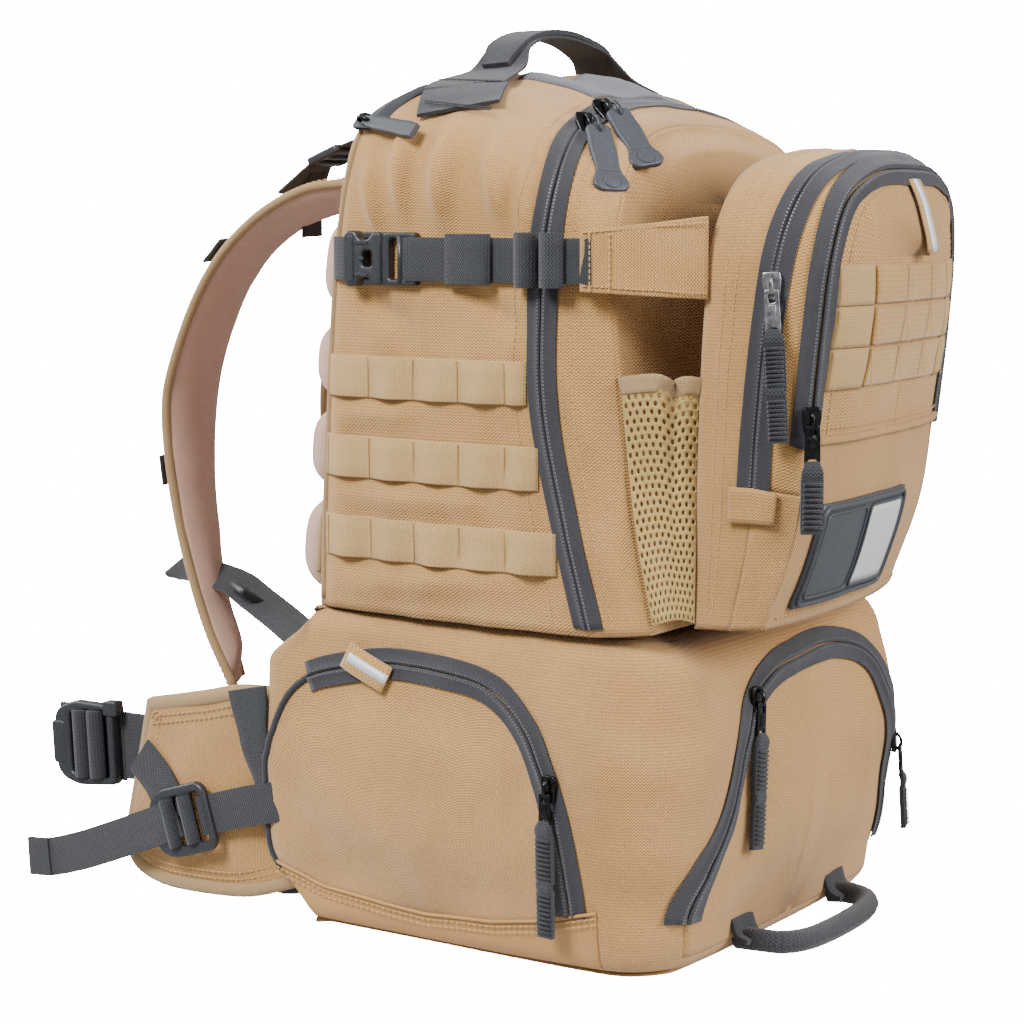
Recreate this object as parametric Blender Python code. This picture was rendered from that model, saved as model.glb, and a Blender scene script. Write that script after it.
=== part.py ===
"""Tan load pack with a wide lower compartment, a front pouch and a padded harness.

Metres, +Z up. The origin is the centre of the flat underside. The wearer stands at +Y,
the pouch faces -Y, and the wearer's left side is -X.
"""
import math

import bmesh
import bpy
from mathutils import Matrix, Vector

# Pack body
HALF_WIDTH = 0.150
SEAM_Z = 0.203
BODY_TOP = 0.515
SHOULDER_Z = 0.468
BACK_LOW_Y = 0.094
BACK_HIGH_Y = 0.066
BACK_HIGH_Z = 0.472
ARCH_LOW_Y = -0.105
ARCH_MID_Y = -0.0745
ARCH_MID_Z = 0.334
WALL = 0.003
GAP = 0.0005

# Lower compartment
BASE_HALF = 0.146
BASE_BACK = 0.0945
BASE_FRONT = -0.1515
BASE_CORNER = 0.050
BASE_SLOPE_Y = -0.124
BASE_SLOPE_Z = 0.174
BOOT_TOP = 0.036
FLAP_LOW = 0.045
FLAP_TOP = 0.168
FLAP_THICK = 0.006

# Main panel and pouch
PANEL_HINGE_Y = -0.128
PANEL_CORNER = 0.035
POUCH_BACK = -0.1460
POUCH_HINGE_Y = -0.1460
POUCH_YAW = math.radians(-6)
POUCH_HALF = 0.120
POUCH_TOP = 0.474
MID_HALF = 0.113
MID_LOW = 0.2925
FRONT_HALF = 0.106
FRONT_LOW = 0.312
PATCH_FROM_X = -0.090
PATCH_TO_X = 0.030

# Webbing and buckles
WEB = 0.0254
WEB_THICK = 0.002
PALS_ROWS = (0.246, 0.2945, 0.343)
STRAP_Z = 0.413
STRAP_X = 0.1555
BUCKLE_Y = 0.034
BUCKLE_HALF_Z = 0.017
WING_END_Y = -0.106
HANDLE_Y = 0.022

# Harness
SHOULDER_PIVOT = (0.070, 0.098, 0.460)
HIP_PIVOT = (0.128, 0.112, 0.070)
HIP_TIP = (0.1465, 0.262, 0.090)

TAN = (0.60, 0.39, 0.21)
CHARCOAL = (0.045, 0.047, 0.055)
LOOKS = {
    "tan_fabric": (TAN, 0.85, 0.0),
    "boot_leather": ((0.58, 0.33, 0.13), 0.55, 0.0),
    "padding": ((0.40, 0.23, 0.19), 0.90, 0.0),
    "tan_webbing": ((0.62, 0.42, 0.22), 0.80, 0.0),
    "black_webbing": (CHARCOAL, 0.80, 0.0),
    "black_plastic": ((0.03, 0.032, 0.038), 0.40, 0.0),
    "black_rubber": ((0.05, 0.052, 0.06), 0.60, 0.0),
    "zip_metal": ((0.20, 0.20, 0.21), 0.35, 1.0),
    "frame_plastic": ((0.05, 0.05, 0.05), 0.60, 0.0),
    "frame_aluminium": ((0.75, 0.75, 0.77), 0.35, 1.0),
}
MATERIALS = {}
BODIES = {}


def clear_scene():
    for old in list(bpy.data.objects):
        bpy.data.objects.remove(old, do_unlink=True)


def make_materials():
    for name, (colour, roughness, metallic) in LOOKS.items():
        look = bpy.data.materials.new(name)
        look.use_nodes = True
        shader = look.node_tree.nodes["Principled BSDF"]
        shader.inputs["Base Color"].default_value = (*colour, 1.0)
        shader.inputs["Roughness"].default_value = roughness
        shader.inputs["Metallic"].default_value = metallic
        MATERIALS[name] = look


def make_body(name, pivot=(0, 0, 0), parent=None):
    """An empty on the joint's axis; the pieces of one moving body are its children."""
    body = bpy.data.objects.new("axis_" + name, None)
    bpy.context.collection.objects.link(body)
    body.location = pivot
    if parent:
        body.location = Vector(pivot) - BODIES[parent][1]
        body.parent = BODIES[parent][0]
    BODIES[name] = (body, Vector(pivot))


def add_piece(name, bm, look, body, turn=None):
    """Turn world-space geometry into a named object under its body's empty."""
    if turn:
        bm.transform(turn)
    empty, pivot = BODIES[body]
    bm.transform(Matrix.Translation(-pivot))
    bmesh.ops.recalc_face_normals(bm, faces=bm.faces)
    mesh = bpy.data.meshes.new(name)
    bm.to_mesh(mesh)
    bm.free()
    mesh.materials.append(MATERIALS[look])
    piece = bpy.data.objects.new(name, mesh)
    bpy.context.collection.objects.link(piece)
    piece.parent = empty
    return piece


def add_cutter(name, bm, piece, operation, turn=None):
    """Boolean of a piece with a hidden tool shape in the same place."""
    body = piece.parent
    pivot = next(point for empty, point in BODIES.values() if empty == body)
    if turn:
        bm.transform(turn)
    bm.transform(Matrix.Translation(-pivot))
    bmesh.ops.recalc_face_normals(bm, faces=bm.faces)
    mesh = bpy.data.meshes.new(name)
    bm.to_mesh(mesh)
    bm.free()
    cutter = bpy.data.objects.new(name, mesh)
    bpy.context.collection.objects.link(cutter)
    cutter.parent = body
    cutter.hide_render = True
    cutter.display_type = "WIRE"
    step = piece.modifiers.new(name, "BOOLEAN")
    step.operation = operation
    step.object = cutter


def subtract(piece, hollow):
    """Cut a modelled hollow, itself a hidden object, out of a piece."""
    hollow.hide_render = True
    hollow.display_type = "WIRE"
    step = piece.modifiers.new("hollow", "BOOLEAN")
    step.operation = "DIFFERENCE"
    step.object = hollow


def place(axis, along, first, second):
    """Point with `along` on the given axis and the outline's two values on the others."""
    if axis == "X":
        return Vector((along, first, second))
    if axis == "Y":
        return Vector((first, along, second))
    return Vector((first, second, along))


def prism(axis, outline, low, high):
    """Closed outline pushed straight along an axis, from low to high."""
    bm = bmesh.new()
    bottom = [bm.verts.new(place(axis, low, *point)) for point in outline]
    top = [bm.verts.new(place(axis, high, *point)) for point in outline]
    bm.faces.new(bottom)
    bm.faces.new(reversed(top))
    count = len(outline)
    for i in range(count):
        after = (i + 1) % count
        bm.faces.new((bottom[i], top[i], top[after], bottom[after]))
    return bm


def block(low, high):
    outline = [(low[0], low[1]), (high[0], low[1]), (high[0], high[1]), (low[0], high[1])]
    return prism("Z", outline, low[2], high[2])


def rounded(half_a, low_b, high_b, low_radius, high_radius, steps=4):
    """Rectangle about a = 0 with round corners, as (a, b) points."""
    points = []
    corners = (
        (half_a - low_radius, low_b + low_radius, low_radius, -90),
        (half_a - high_radius, high_b - high_radius, high_radius, 0),
        (-half_a + high_radius, high_b - high_radius, high_radius, 90),
        (-half_a + low_radius, low_b + low_radius, low_radius, 180),
    )
    for centre_a, centre_b, radius, start in corners:
        for i in range(steps + 1):
            angle = math.radians(start + 90 * i / steps)
            points.append((centre_a + radius * math.cos(angle), centre_b + radius * math.sin(angle)))
    return points


def bowed_plan(half, back, back_bow, front, front_bow, steps=6):
    """Plan outline between two arcs; each bows towards -Y by its own amount."""
    points = []
    for i in range(steps + 1):
        x = -half + 2 * half * i / steps
        points.append((x, front - front_bow * (1 - (x / half) ** 2)))
    for i in range(steps + 1):
        x = half - 2 * half * i / steps
        points.append((x, back - back_bow * (1 - (x / half) ** 2)))
    return points


def strip_plan(x_from, x_to, half, face_y, bow, lift, thickness, steps=8):
    """Plan outline of a strip lying `lift` in front of a face that bows towards -Y by `bow`."""
    back, front = [], []
    for i in range(steps + 1):
        x = x_from + (x_to - x_from) * i / steps
        y = face_y - bow * (1 - (x / half) ** 2) - lift
        back.append((x, y))
        front.append((x, y - thickness))
    return front + back[::-1]


def smooth_path(points, count):
    """Evenly shared parameter along a Catmull-Rom curve through the given points."""
    knots = [Vector(p) for p in points]
    knots = [2 * knots[0] - knots[1]] + knots + [2 * knots[-1] - knots[-2]]
    path = []
    spans = len(knots) - 3
    for i in range(count + 1):
        value = spans * i / count
        span = min(int(value), spans - 1)
        t = value - span
        a, b, c, d = knots[span:span + 4]
        path.append(0.5 * (2 * b + (c - a) * t + (2 * a - 5 * b + 4 * c - d) * t * t
                           + (3 * b - a - 3 * c + d) * t ** 3))
    return path


def ribbon(path, across, width, thickness):
    """Flat strip of even thickness; `across` is the direction of its width."""
    across = Vector(across).normalized()
    bm = bmesh.new()
    rings = []
    for i, point in enumerate(path):
        ahead = path[min(i + 1, len(path) - 1)] - path[max(i - 1, 0)]
        side = across - ahead.normalized() * across.dot(ahead.normalized())
        side.normalize()
        out = ahead.cross(side).normalized()
        ring = []
        for a, b in ((-1, -1), (1, -1), (1, 1), (-1, 1)):
            ring.append(bm.verts.new(point + side * a * width / 2 + out * b * thickness / 2))
        rings.append(ring)
    for one, two in zip(rings, rings[1:]):
        for i in range(4):
            after = (i + 1) % 4
            bm.faces.new((one[i], one[after], two[after], two[i]))
    bm.faces.new(reversed(rings[0]))
    bm.faces.new(rings[-1])
    return bm


def tube(path, radius, sides=8):
    bm = bmesh.new()
    rings = []
    for i, point in enumerate(path):
        ahead = (path[min(i + 1, len(path) - 1)] - path[max(i - 1, 0)]).normalized()
        side = ahead.cross(Vector((0, 0, 1))).normalized()
        up = side.cross(ahead)
        ring = []
        for k in range(sides):
            angle = 2 * math.pi * k / sides
            ring.append(bm.verts.new(point + radius * (side * math.cos(angle) + up * math.sin(angle))))
        rings.append(ring)
    for one, two in zip(rings, rings[1:]):
        for i in range(sides):
            after = (i + 1) % sides
            bm.faces.new((one[i], one[after], two[after], two[i]))
    bm.faces.new(reversed(rings[0]))
    bm.faces.new(rings[-1])
    return bm


def bevel(piece, width, segments=2, limit=30):
    step = piece.modifiers.new("round", "BEVEL")
    step.width = width
    step.segments = segments
    step.limit_method = "ANGLE"
    step.angle_limit = math.radians(limit)


def roof_outline(half, low, inset=0.0):
    """Front-view outline of the upper compartment: upright sides and a domed top."""
    edge = half - inset
    points = [(-edge, low), (edge, low), (edge, SHOULDER_Z - 0.02)]
    for i in range(9):
        x = edge * math.cos(math.pi * i / 8)
        rise = math.sin(math.pi * i / 8) ** 0.8
        points.append((x * (1 - 0.04 * rise), SHOULDER_Z - inset + (BODY_TOP - SHOULDER_Z) * rise))
    points.append((-edge, SHOULDER_Z - 0.02))
    return points


# ---------------------------------------------------------------- pack body

def make_main_shell():
    side_view = [
        (BACK_LOW_Y, SEAM_Z), (BACK_HIGH_Y, BACK_HIGH_Z), (0.050, 0.500), (0.010, 0.530),
        (ARCH_MID_Y, 0.530), (ARCH_MID_Y, ARCH_MID_Z), (ARCH_LOW_Y, SEAM_Z),
    ]
    inner = [
        (BACK_LOW_Y - WALL, SEAM_Z + WALL), (BACK_HIGH_Y - WALL, BACK_HIGH_Z - 0.002),
        (0.047, 0.497), (0.009, 0.527), (-0.2, 0.527), (-0.2, SEAM_Z + WALL),
    ]
    shell = add_piece("main_shell", prism("X", side_view, -0.2, 0.2), "tan_fabric", "pack")
    roof = prism("Y", roof_outline(HALF_WIDTH, SEAM_Z), -0.3, 0.3)
    add_cutter("main_shell_roof", roof, shell, "INTERSECT")
    hollow = add_piece("main_shell_hollow", prism("X", inner, -0.2, 0.2), "tan_fabric", "pack")
    room = prism("Y", roof_outline(HALF_WIDTH, SEAM_Z, WALL), -0.35, 0.35)
    add_cutter("main_shell_room", room, hollow, "INTERSECT")
    subtract(shell, hollow)


def base_plan(inset):
    return rounded(BASE_HALF - inset, BASE_FRONT + inset, BASE_BACK - inset,
                   BASE_CORNER - inset, BASE_CORNER / 2 - inset, 5)


def base_side_view(inset):
    """The top slopes down at the front, so the main panel and the pouch can lean over it."""
    top = SEAM_Z - GAP - inset
    return [(0.2, 0.0), (0.2, top), (BASE_SLOPE_Y, top), (BASE_FRONT - 0.002, BASE_SLOPE_Z - inset),
            (-0.2, BASE_SLOPE_Z - inset - 0.04), (-0.2, 0.0)]


def side_flap_outline(inset=0.0):
    """Door outline in the side view: straight foot, round top corners."""
    points = [(0.072 - inset, FLAP_LOW + inset), (-0.074 + inset, FLAP_LOW + inset)]
    front_y, back_y, radius = -0.074 + inset, 0.072 - inset, 0.050
    top = FLAP_TOP - inset
    for i in range(6):
        angle = math.radians(180 - 18 * i)
        points.append((front_y + radius + radius * math.cos(angle), top - radius + radius * math.sin(angle)))
    radius = 0.025
    for i in range(5):
        angle = math.radians(90 - 22.5 * i)
        points.append((back_y - radius + radius * math.cos(angle), top - radius + radius * math.sin(angle)))
    return points


def front_flap_outline(inset=0.0):
    """Door outline in the front view: wide foot, leaning sides, round top corners."""
    half_low, half_high, radius = 0.102 - inset, 0.088 - inset, 0.040
    points = [(-half_low, FLAP_LOW + inset), (half_low, FLAP_LOW + inset)]
    top = 0.162 - inset
    for start, centre in ((0, half_high - radius), (90, -half_high + radius)):
        for i in range(6):
            angle = math.radians(start + 18 * i)
            points.append((centre + radius * math.cos(angle), top - radius + radius * math.sin(angle)))
    return points


def make_base():
    inner = base_plan(WALL)
    shell = add_piece("base_shell", prism("Z", base_plan(0.0), BOOT_TOP + GAP, SEAM_Z - GAP),
                      "tan_fabric", "pack")
    add_cutter("base_slope", prism("X", base_side_view(0.0), -0.3, 0.3), shell, "INTERSECT")
    room = add_piece("base_room", prism("Z", inner, 0.0, 0.3), "tan_fabric", "pack")
    add_cutter("base_room_slope", prism("X", base_side_view(WALL), -0.3, 0.3), room, "INTERSECT")
    subtract(shell, room)
    lip = 0.008
    door = prism("X", side_flap_outline(lip), -0.3, 0.3)
    add_cutter("base_side_doors", door, shell, "DIFFERENCE")
    add_cutter("base_front_door", prism("Y", front_flap_outline(lip), -0.3, 0.0), shell, "DIFFERENCE")

    boot_plan = rounded(BASE_HALF + 0.004, BASE_FRONT - 0.003, BASE_BACK, BASE_CORNER,
                        BASE_CORNER / 2, 5)
    boot = add_piece("bottom_boot", prism("Z", boot_plan, 0.0, BOOT_TOP), "boot_leather", "pack")
    add_cutter("boot_room", prism("Z", inner, 0.0035, 0.2), boot, "DIFFERENCE")


def back_slope():
    """Frame at the foot of the sloping back: local Y leaves the wall, local Z climbs it."""
    angle = math.atan2(BACK_LOW_Y - BACK_HIGH_Y, BACK_HIGH_Z - SEAM_Z)
    return Matrix.Translation((0, BACK_LOW_Y, SEAM_Z)) @ Matrix.Rotation(angle, 4, "X")


def make_back():
    slope = back_slope()
    sheet = block((-0.125, -0.0075, 0.010), (0.125, -0.0060, 0.250))
    add_piece("frame_sheet", sheet, "frame_plastic", "pack", slope)
    for name, x in (("left", -0.060), ("right", 0.060)):
        stay = block((x - 0.0125, -0.0108, 0.012), (x + 0.0125, -0.0080, 0.248))
        add_piece("stay_" + name, stay, "frame_aluminium", "pack", slope)
    lobes = (("lower", 0.004, 0.082), ("middle", 0.088, 0.168), ("upper", 0.174, 0.236))
    for name, low, high in lobes:
        outline = rounded(0.128, low, high, 0.022, 0.022, 3)
        pad = add_piece("back_pad_" + name, prism("Y", outline, GAP, 0.0175), "padding", "pack", slope)
        bevel(pad, 0.005, 2, 60)
    lumbar = rounded(0.104, 0.030, 0.190, 0.03, 0.03, 4)
    pad = add_piece("lumbar_pad", prism("Y", lumbar, BASE_BACK + GAP, 0.117), "padding", "pack")
    bevel(pad, 0.006, 2, 60)


def make_carry_handle():
    half_loop = ((-0.098, 0.5088), (-0.078, 0.5150), (-0.060, 0.530), (-0.034, 0.5455), (0.0, 0.5510))
    points = [(x, HANDLE_Y, z) for x, z in half_loop]
    path = smooth_path(points, 8)
    path = path + [Vector((-p.x, p.y, p.z)) for p in reversed(path[:-1])]
    add_piece("carry_handle", ribbon(path, (0, 1, 0), 0.044, 0.003), "black_webbing", "pack")


def make_molle(side, name):
    """Three webbing rows on one thin backing, as one comb-shaped section along Y."""
    out = side * (HALF_WIDTH + GAP)
    backing, raised = 0.0008, 0.0030
    points = [(out, PALS_ROWS[0] - 0.016)]
    for row in PALS_ROWS:
        points.append((out + side * backing, row - WEB / 2 - 0.003))
        points.append((out + side * raised, row - WEB / 2))
        points.append((out + side * raised, row + WEB / 2))
        points.append((out + side * backing, row + WEB / 2 + 0.003))
    points.append((out, PALS_ROWS[-1] + 0.016))
    add_piece("molle_" + name, prism("Y", points, -0.062, 0.078), "tan_webbing", "pack")


def make_female_buckle(side, name):
    x_in = HALF_WIDTH + 0.0008
    low = (x_in, BUCKLE_Y, STRAP_Z - BUCKLE_HALF_Z)
    high = (x_in + 0.010, BUCKLE_Y + 0.029, STRAP_Z + BUCKLE_HALF_Z)
    outer = block((side * low[0], low[1], low[2]), (side * high[0], high[1], high[2]))
    piece = add_piece("female_buckle_" + name, outer, "black_plastic", "pack")
    room = block((side * (x_in + 0.0022), BUCKLE_Y - 0.01, STRAP_Z - 0.0140),
                 (side * (x_in + 0.0078), BUCKLE_Y + 0.0255, STRAP_Z + 0.0140))
    add_cutter("female_room_" + name, room, piece, "DIFFERENCE")


def make_puller(name, body, top, length, width, thickness, out,
                look="black_webbing", turn=None, down=(0, 0, -1)):
    """Flat tab hanging from `top`; `out` is the direction that its face looks in."""
    down = Vector(down).normalized()
    out = Vector(out).normalized()
    across = down.cross(out)
    middle = Vector(top) + out * thickness / 2
    path = [middle + down * 0.001, middle + down * length]
    add_piece(name, ribbon(path, across, width, thickness), look, body, turn)


def make_slider(name, body, centre, size, turn=None):
    low = [c - s / 2 for c, s in zip(centre, size)]
    high = [c + s / 2 for c, s in zip(centre, size)]
    piece = add_piece(name, block(low, high), "zip_metal", body, turn)
    bevel(piece, 0.0012, 1, 60)


# ---------------------------------------------------------------- main panel

def make_main_panel():
    make_body("main_panel", (0, PANEL_HINGE_Y, SEAM_Z), "pack")
    front = [
        (-0.093, 0.530), (-0.105, 0.492), (-0.114, 0.455), (-0.120, 0.350), (PANEL_HINGE_Y, SEAM_Z + GAP),
    ]
    side_view = [
        (ARCH_LOW_Y - GAP, SEAM_Z + GAP), (ARCH_MID_Y - GAP, ARCH_MID_Z), (ARCH_MID_Y - GAP, 0.530),
    ] + front
    inner = [(0.0, SEAM_Z + WALL), (0.0, 0.527)]
    inner += [(y + WALL, z - (0.003 if z > 0.5 else 0.0)) for y, z in front[:-1]]
    inner.append((PANEL_HINGE_Y + WALL, SEAM_Z + WALL))
    panel = add_piece("main_panel", prism("X", side_view, -0.2, 0.2), "tan_fabric", "main_panel")
    half = HALF_WIDTH - 0.002
    plan = rounded(half, PANEL_HINGE_Y - 0.001, 0.1, PANEL_CORNER, 0.001)
    add_cutter("panel_roof", prism("Y", roof_outline(half, SEAM_Z), -0.3, 0.3), panel, "INTERSECT")
    add_cutter("panel_plan", prism("Z", plan, 0.1, 0.6), panel, "INTERSECT")
    hollow = add_piece("panel_hollow", prism("X", inner, -0.2, 0.2), "tan_fabric", "main_panel")
    plan = rounded(half - WALL, PANEL_HINGE_Y - 0.001 + WALL, 0.1, PANEL_CORNER - WALL, 0.001)
    add_cutter("panel_room", prism("Y", roof_outline(half, SEAM_Z, WALL), -0.35, 0.35), hollow, "INTERSECT")
    add_cutter("panel_room_plan", prism("Z", plan, 0.1, 0.6), hollow, "INTERSECT")
    subtract(panel, hollow)


def make_main_pullers():
    """Two flat rubber pullers lying on the panel's steep upper front."""
    for name, x in (("left", -0.085), ("right", -0.052)):
        top = (x, -0.1065, 0.4990)
        lean = (0.10, -0.33, -1.0)
        make_body("main_puller_" + name, top, "main_panel")
        down = Vector(lean).normalized()
        out = Vector((0, -1, 0.33)).normalized()
        make_puller("main_puller_" + name, "main_puller_" + name, Vector(top) + out * 0.002, 0.050, 0.015,
                    0.0035, out, "black_rubber", None, down)


# ---------------------------------------------------------------- pouch

def pouch_turn():
    """The pouch sits a little askew: its left side stands further forward."""
    pivot = Vector((0, POUCH_HINGE_Y, 0))
    return Matrix.Translation(pivot) @ Matrix.Rotation(-POUCH_YAW, 4, "Z") @ Matrix.Translation(-pivot)


def make_pouch():
    turn = pouch_turn()
    make_body("pouch", (0, POUCH_HINGE_Y, SEAM_Z), "main_panel")
    plan = bowed_plan(POUCH_HALF, POUCH_BACK, 0.0, -0.186, 0.014)
    body = add_piece("pouch_body", prism("Z", plan, SEAM_Z + 0.001, POUCH_TOP), "tan_fabric", "pouch", turn)
    outline = rounded(POUCH_HALF, SEAM_Z + 0.001, POUCH_TOP, 0.015, 0.050)
    add_cutter("pouch_arch", prism("Y", outline, -0.4, 0.0), body, "INTERSECT", turn)
    inner = rounded(POUCH_HALF - WALL, SEAM_Z + 0.004, POUCH_TOP - WALL, 0.012, 0.047)
    add_cutter("pouch_room", prism("Y", inner, -0.4, POUCH_BACK - WALL), body, "DIFFERENCE", turn)

    low_plan = bowed_plan(MID_HALF, -0.1865, 0.014, -0.200, 0.020)
    lower = add_piece("pouch_lower", prism("Z", low_plan, SEAM_Z + 0.003, MID_LOW - GAP),
                      "tan_fabric", "pouch", turn)
    bevel(lower, 0.004, 2, 60)

    mid_pivot = turn @ Vector((0, -0.2225, MID_LOW))
    make_body("pouch_mid", mid_pivot, "pouch")
    plan = bowed_plan(MID_HALF, -0.1865, 0.014, -0.202, 0.020)
    mid = add_piece("pouch_mid", prism("Z", plan, MID_LOW, POUCH_TOP - 0.004),
                    "tan_fabric", "pouch_mid", turn)
    outline = rounded(MID_HALF, MID_LOW, POUCH_TOP - 0.004, 0.006, 0.048)
    add_cutter("mid_arch", prism("Y", outline, -0.4, 0.0), mid, "INTERSECT", turn)
    inner = rounded(MID_HALF - WALL, FRONT_LOW + 0.004, POUCH_TOP - 0.007, 0.006, 0.045)
    room = bowed_plan(MID_HALF + 0.01, -0.1895, 0.014, -0.3, 0.0)
    pocket = add_piece("mid_pocket", prism("Z", room, 0.25, 0.5), "tan_fabric", "pouch_mid", turn)
    add_cutter("mid_pocket_arch", prism("Y", inner, -0.4, 0.0), pocket, "INTERSECT", turn)
    subtract(mid, pocket)

    front_pivot = turn @ Vector((0, -0.2330, FRONT_LOW))
    make_body("pouch_front", front_pivot, "pouch_mid")
    plan = bowed_plan(FRONT_HALF, -0.2050, 0.0182, -0.2100, 0.0235)
    front = add_piece("pouch_front", prism("Z", plan, FRONT_LOW, POUCH_TOP - 0.010),
                      "tan_fabric", "pouch_front", turn)
    outline = rounded(FRONT_HALF, FRONT_LOW, POUCH_TOP - 0.010, 0.010, 0.044)
    add_cutter("front_arch", prism("Y", outline, -0.4, 0.0), front, "INTERSECT", turn)

    patch = strip_plan(PATCH_FROM_X, PATCH_TO_X, MID_HALF, -0.200, 0.020, GAP, 0.0035)
    add_piece("id_patch", prism("Z", patch, 0.216, 0.286), "black_rubber", "pouch", turn)


def make_pouch_zips():
    turn = pouch_turn()
    rear = Vector((-MID_HALF - 0.0035, -0.1960, 0.405))
    make_body("pouch_rear_slider", turn @ rear, "pouch_mid")
    make_slider("pouch_rear_slider", "pouch_rear_slider", rear, (0.0050, 0.010, 0.016), turn)
    top = rear + Vector((-0.0030, 0, -0.002))
    make_body("pouch_rear_puller", turn @ top, "pouch_rear_slider")
    make_puller("pouch_rear_puller", "pouch_rear_puller", top, 0.062, 0.009, 0.0022, (-1, 0, 0), turn=turn)

    front = Vector((-FRONT_HALF - 0.0040, -0.2085, 0.333))
    make_body("pouch_front_slider", turn @ front, "pouch_mid")
    make_slider("pouch_front_slider", "pouch_front_slider", front, (0.0065, 0.0050, 0.016), turn)
    top = front + Vector((0, -0.0030, -0.002))
    make_body("pouch_front_puller", turn @ top, "pouch_front_slider")
    make_puller("pouch_front_puller", "pouch_front_puller", top, 0.036, 0.0065, 0.0022, (0, -1, 0), turn=turn)


def make_wing_and_strap(side, name):
    """Fabric wing from the pouch's rear corner, and the strap that clips back to the pack."""
    corner = pouch_turn() @ Vector((side * POUCH_HALF, POUCH_BACK, STRAP_Z))
    root = corner + Vector((side * 0.0035, -0.002, 0))
    make_body("wing_" + name, (0, root.y, STRAP_Z), "pouch")
    end = Vector((side * (STRAP_X - 0.0025), WING_END_Y + 0.004, STRAP_Z))
    middle = (root + end) / 2 + Vector((side * 0.004, -0.004, 0))
    path = smooth_path((root, middle, end), 6)
    add_piece("wing_" + name, ribbon(path, (0, 0, 1), 0.040, 0.0018), "tan_fabric", "wing_" + name)

    make_body("strap_" + name, (0, WING_END_Y, STRAP_Z), "wing_" + name)
    start = Vector((side * STRAP_X, WING_END_Y - 0.003, STRAP_Z))
    stop = Vector((side * STRAP_X, BUCKLE_Y - 0.0245, STRAP_Z))
    webbing = ribbon([start, stop], (0, 0, 1), WEB, WEB_THICK)
    add_piece("strap_" + name, webbing, "black_webbing", "strap_" + name)
    x_in = HALF_WIDTH + 0.0008
    plan = [
        (side * x_in, BUCKLE_Y - 0.024), (side * (x_in + 0.010), BUCKLE_Y - 0.024),
        (side * (x_in + 0.010), BUCKLE_Y - GAP), (side * (x_in + 0.0065), BUCKLE_Y - GAP),
        (side * (x_in + 0.0065), BUCKLE_Y + 0.0235), (side * (x_in + 0.0035), BUCKLE_Y + 0.0235),
        (side * (x_in + 0.0035), BUCKLE_Y - GAP), (side * x_in, BUCKLE_Y - GAP),
    ]
    solid = prism("Z", plan, STRAP_Z - BUCKLE_HALF_Z, STRAP_Z + BUCKLE_HALF_Z)
    male = add_piece("male_buckle_" + name, solid, "black_plastic", "strap_" + name)
    for tag, sign in (("low", -1), ("high", 1)):
        trim = block((side * 0.14, BUCKLE_Y - 0.0001, STRAP_Z + sign * 0.0095),
                     (side * 0.17, BUCKLE_Y + 0.05, STRAP_Z + sign * 0.03))
        add_cutter("male_trim_" + tag + "_" + name, trim, male, "DIFFERENCE")


# ---------------------------------------------------------------- doors of the lower compartment

def make_side_flap(side, name):
    outer = BASE_HALF + GAP + FLAP_THICK
    make_body("side_flap_" + name, (side * outer, 0, FLAP_LOW), "pack")
    plate = prism("X", side_flap_outline(), side * (BASE_HALF + GAP), side * outer)
    flap = add_piece("side_flap_" + name, plate, "tan_fabric", "side_flap_" + name)
    bevel(flap, 0.0025, 1, 60)
    centre = Vector((side * (outer + 0.0030), -0.062, 0.112))
    make_body("side_slider_" + name, centre, "side_flap_" + name)
    make_slider("side_slider_" + name, "side_slider_" + name, centre, (0.0050, 0.010, 0.016))
    top = centre + Vector((side * 0.0030, 0, -0.002))
    make_body("side_puller_" + name, top, "side_slider_" + name)
    make_puller("side_puller_" + name, "side_puller_" + name, top, 0.062, 0.010, 0.0022, (side, 0, 0))


def make_front_flap():
    thick = 0.012
    outer = BASE_FRONT - GAP - thick
    make_body("front_flap", (0, outer, FLAP_LOW), "pack")
    flap = add_piece("front_flap", prism("Y", front_flap_outline(), outer, BASE_FRONT - GAP),
                     "tan_fabric", "front_flap")
    bevel(flap, 0.0040, 1, 60)
    centre = Vector((-0.048, outer - 0.0030, 0.148))
    make_body("front_slider", centre, "front_flap")
    make_slider("front_slider", "front_slider", centre, (0.010, 0.0050, 0.016))
    top = centre + Vector((0, -0.0030, -0.002))
    make_body("front_puller", top, "front_slider")
    make_puller("front_puller", "front_puller", top, 0.070, 0.010, 0.0022, (0, -1, 0))


def make_drag_handle():
    pivot = (0, BASE_FRONT - 0.012, 0.0130)
    make_body("drag_handle", pivot, "pack")
    points = (
        (-0.056, -0.1625, 0.0130), (-0.060, -0.176, 0.0110), (-0.040, -0.187, 0.0085), (0.0, -0.190, 0.0082),
        (0.040, -0.187, 0.0085), (0.060, -0.176, 0.0110), (0.056, -0.1625, 0.0130),
    )
    add_piece("drag_handle", tube(smooth_path(points, 18), 0.0055), "black_webbing", "drag_handle")


def make_back_zip_puller():
    top = (-0.118, 0.058, 0.5030)
    make_body("back_zip_puller", top, "pack")
    down = Vector((-0.45, -0.88, -0.45))
    out = Vector((-0.70, 0.0, 0.60))
    out -= down.normalized() * out.dot(down.normalized())
    start = Vector(top) + out.normalized() * 0.004
    make_puller("back_zip_puller", "back_zip_puller", start, 0.042, 0.008, 0.0025,
                out, "black_rubber", None, down)


# ---------------------------------------------------------------- harness

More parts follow.
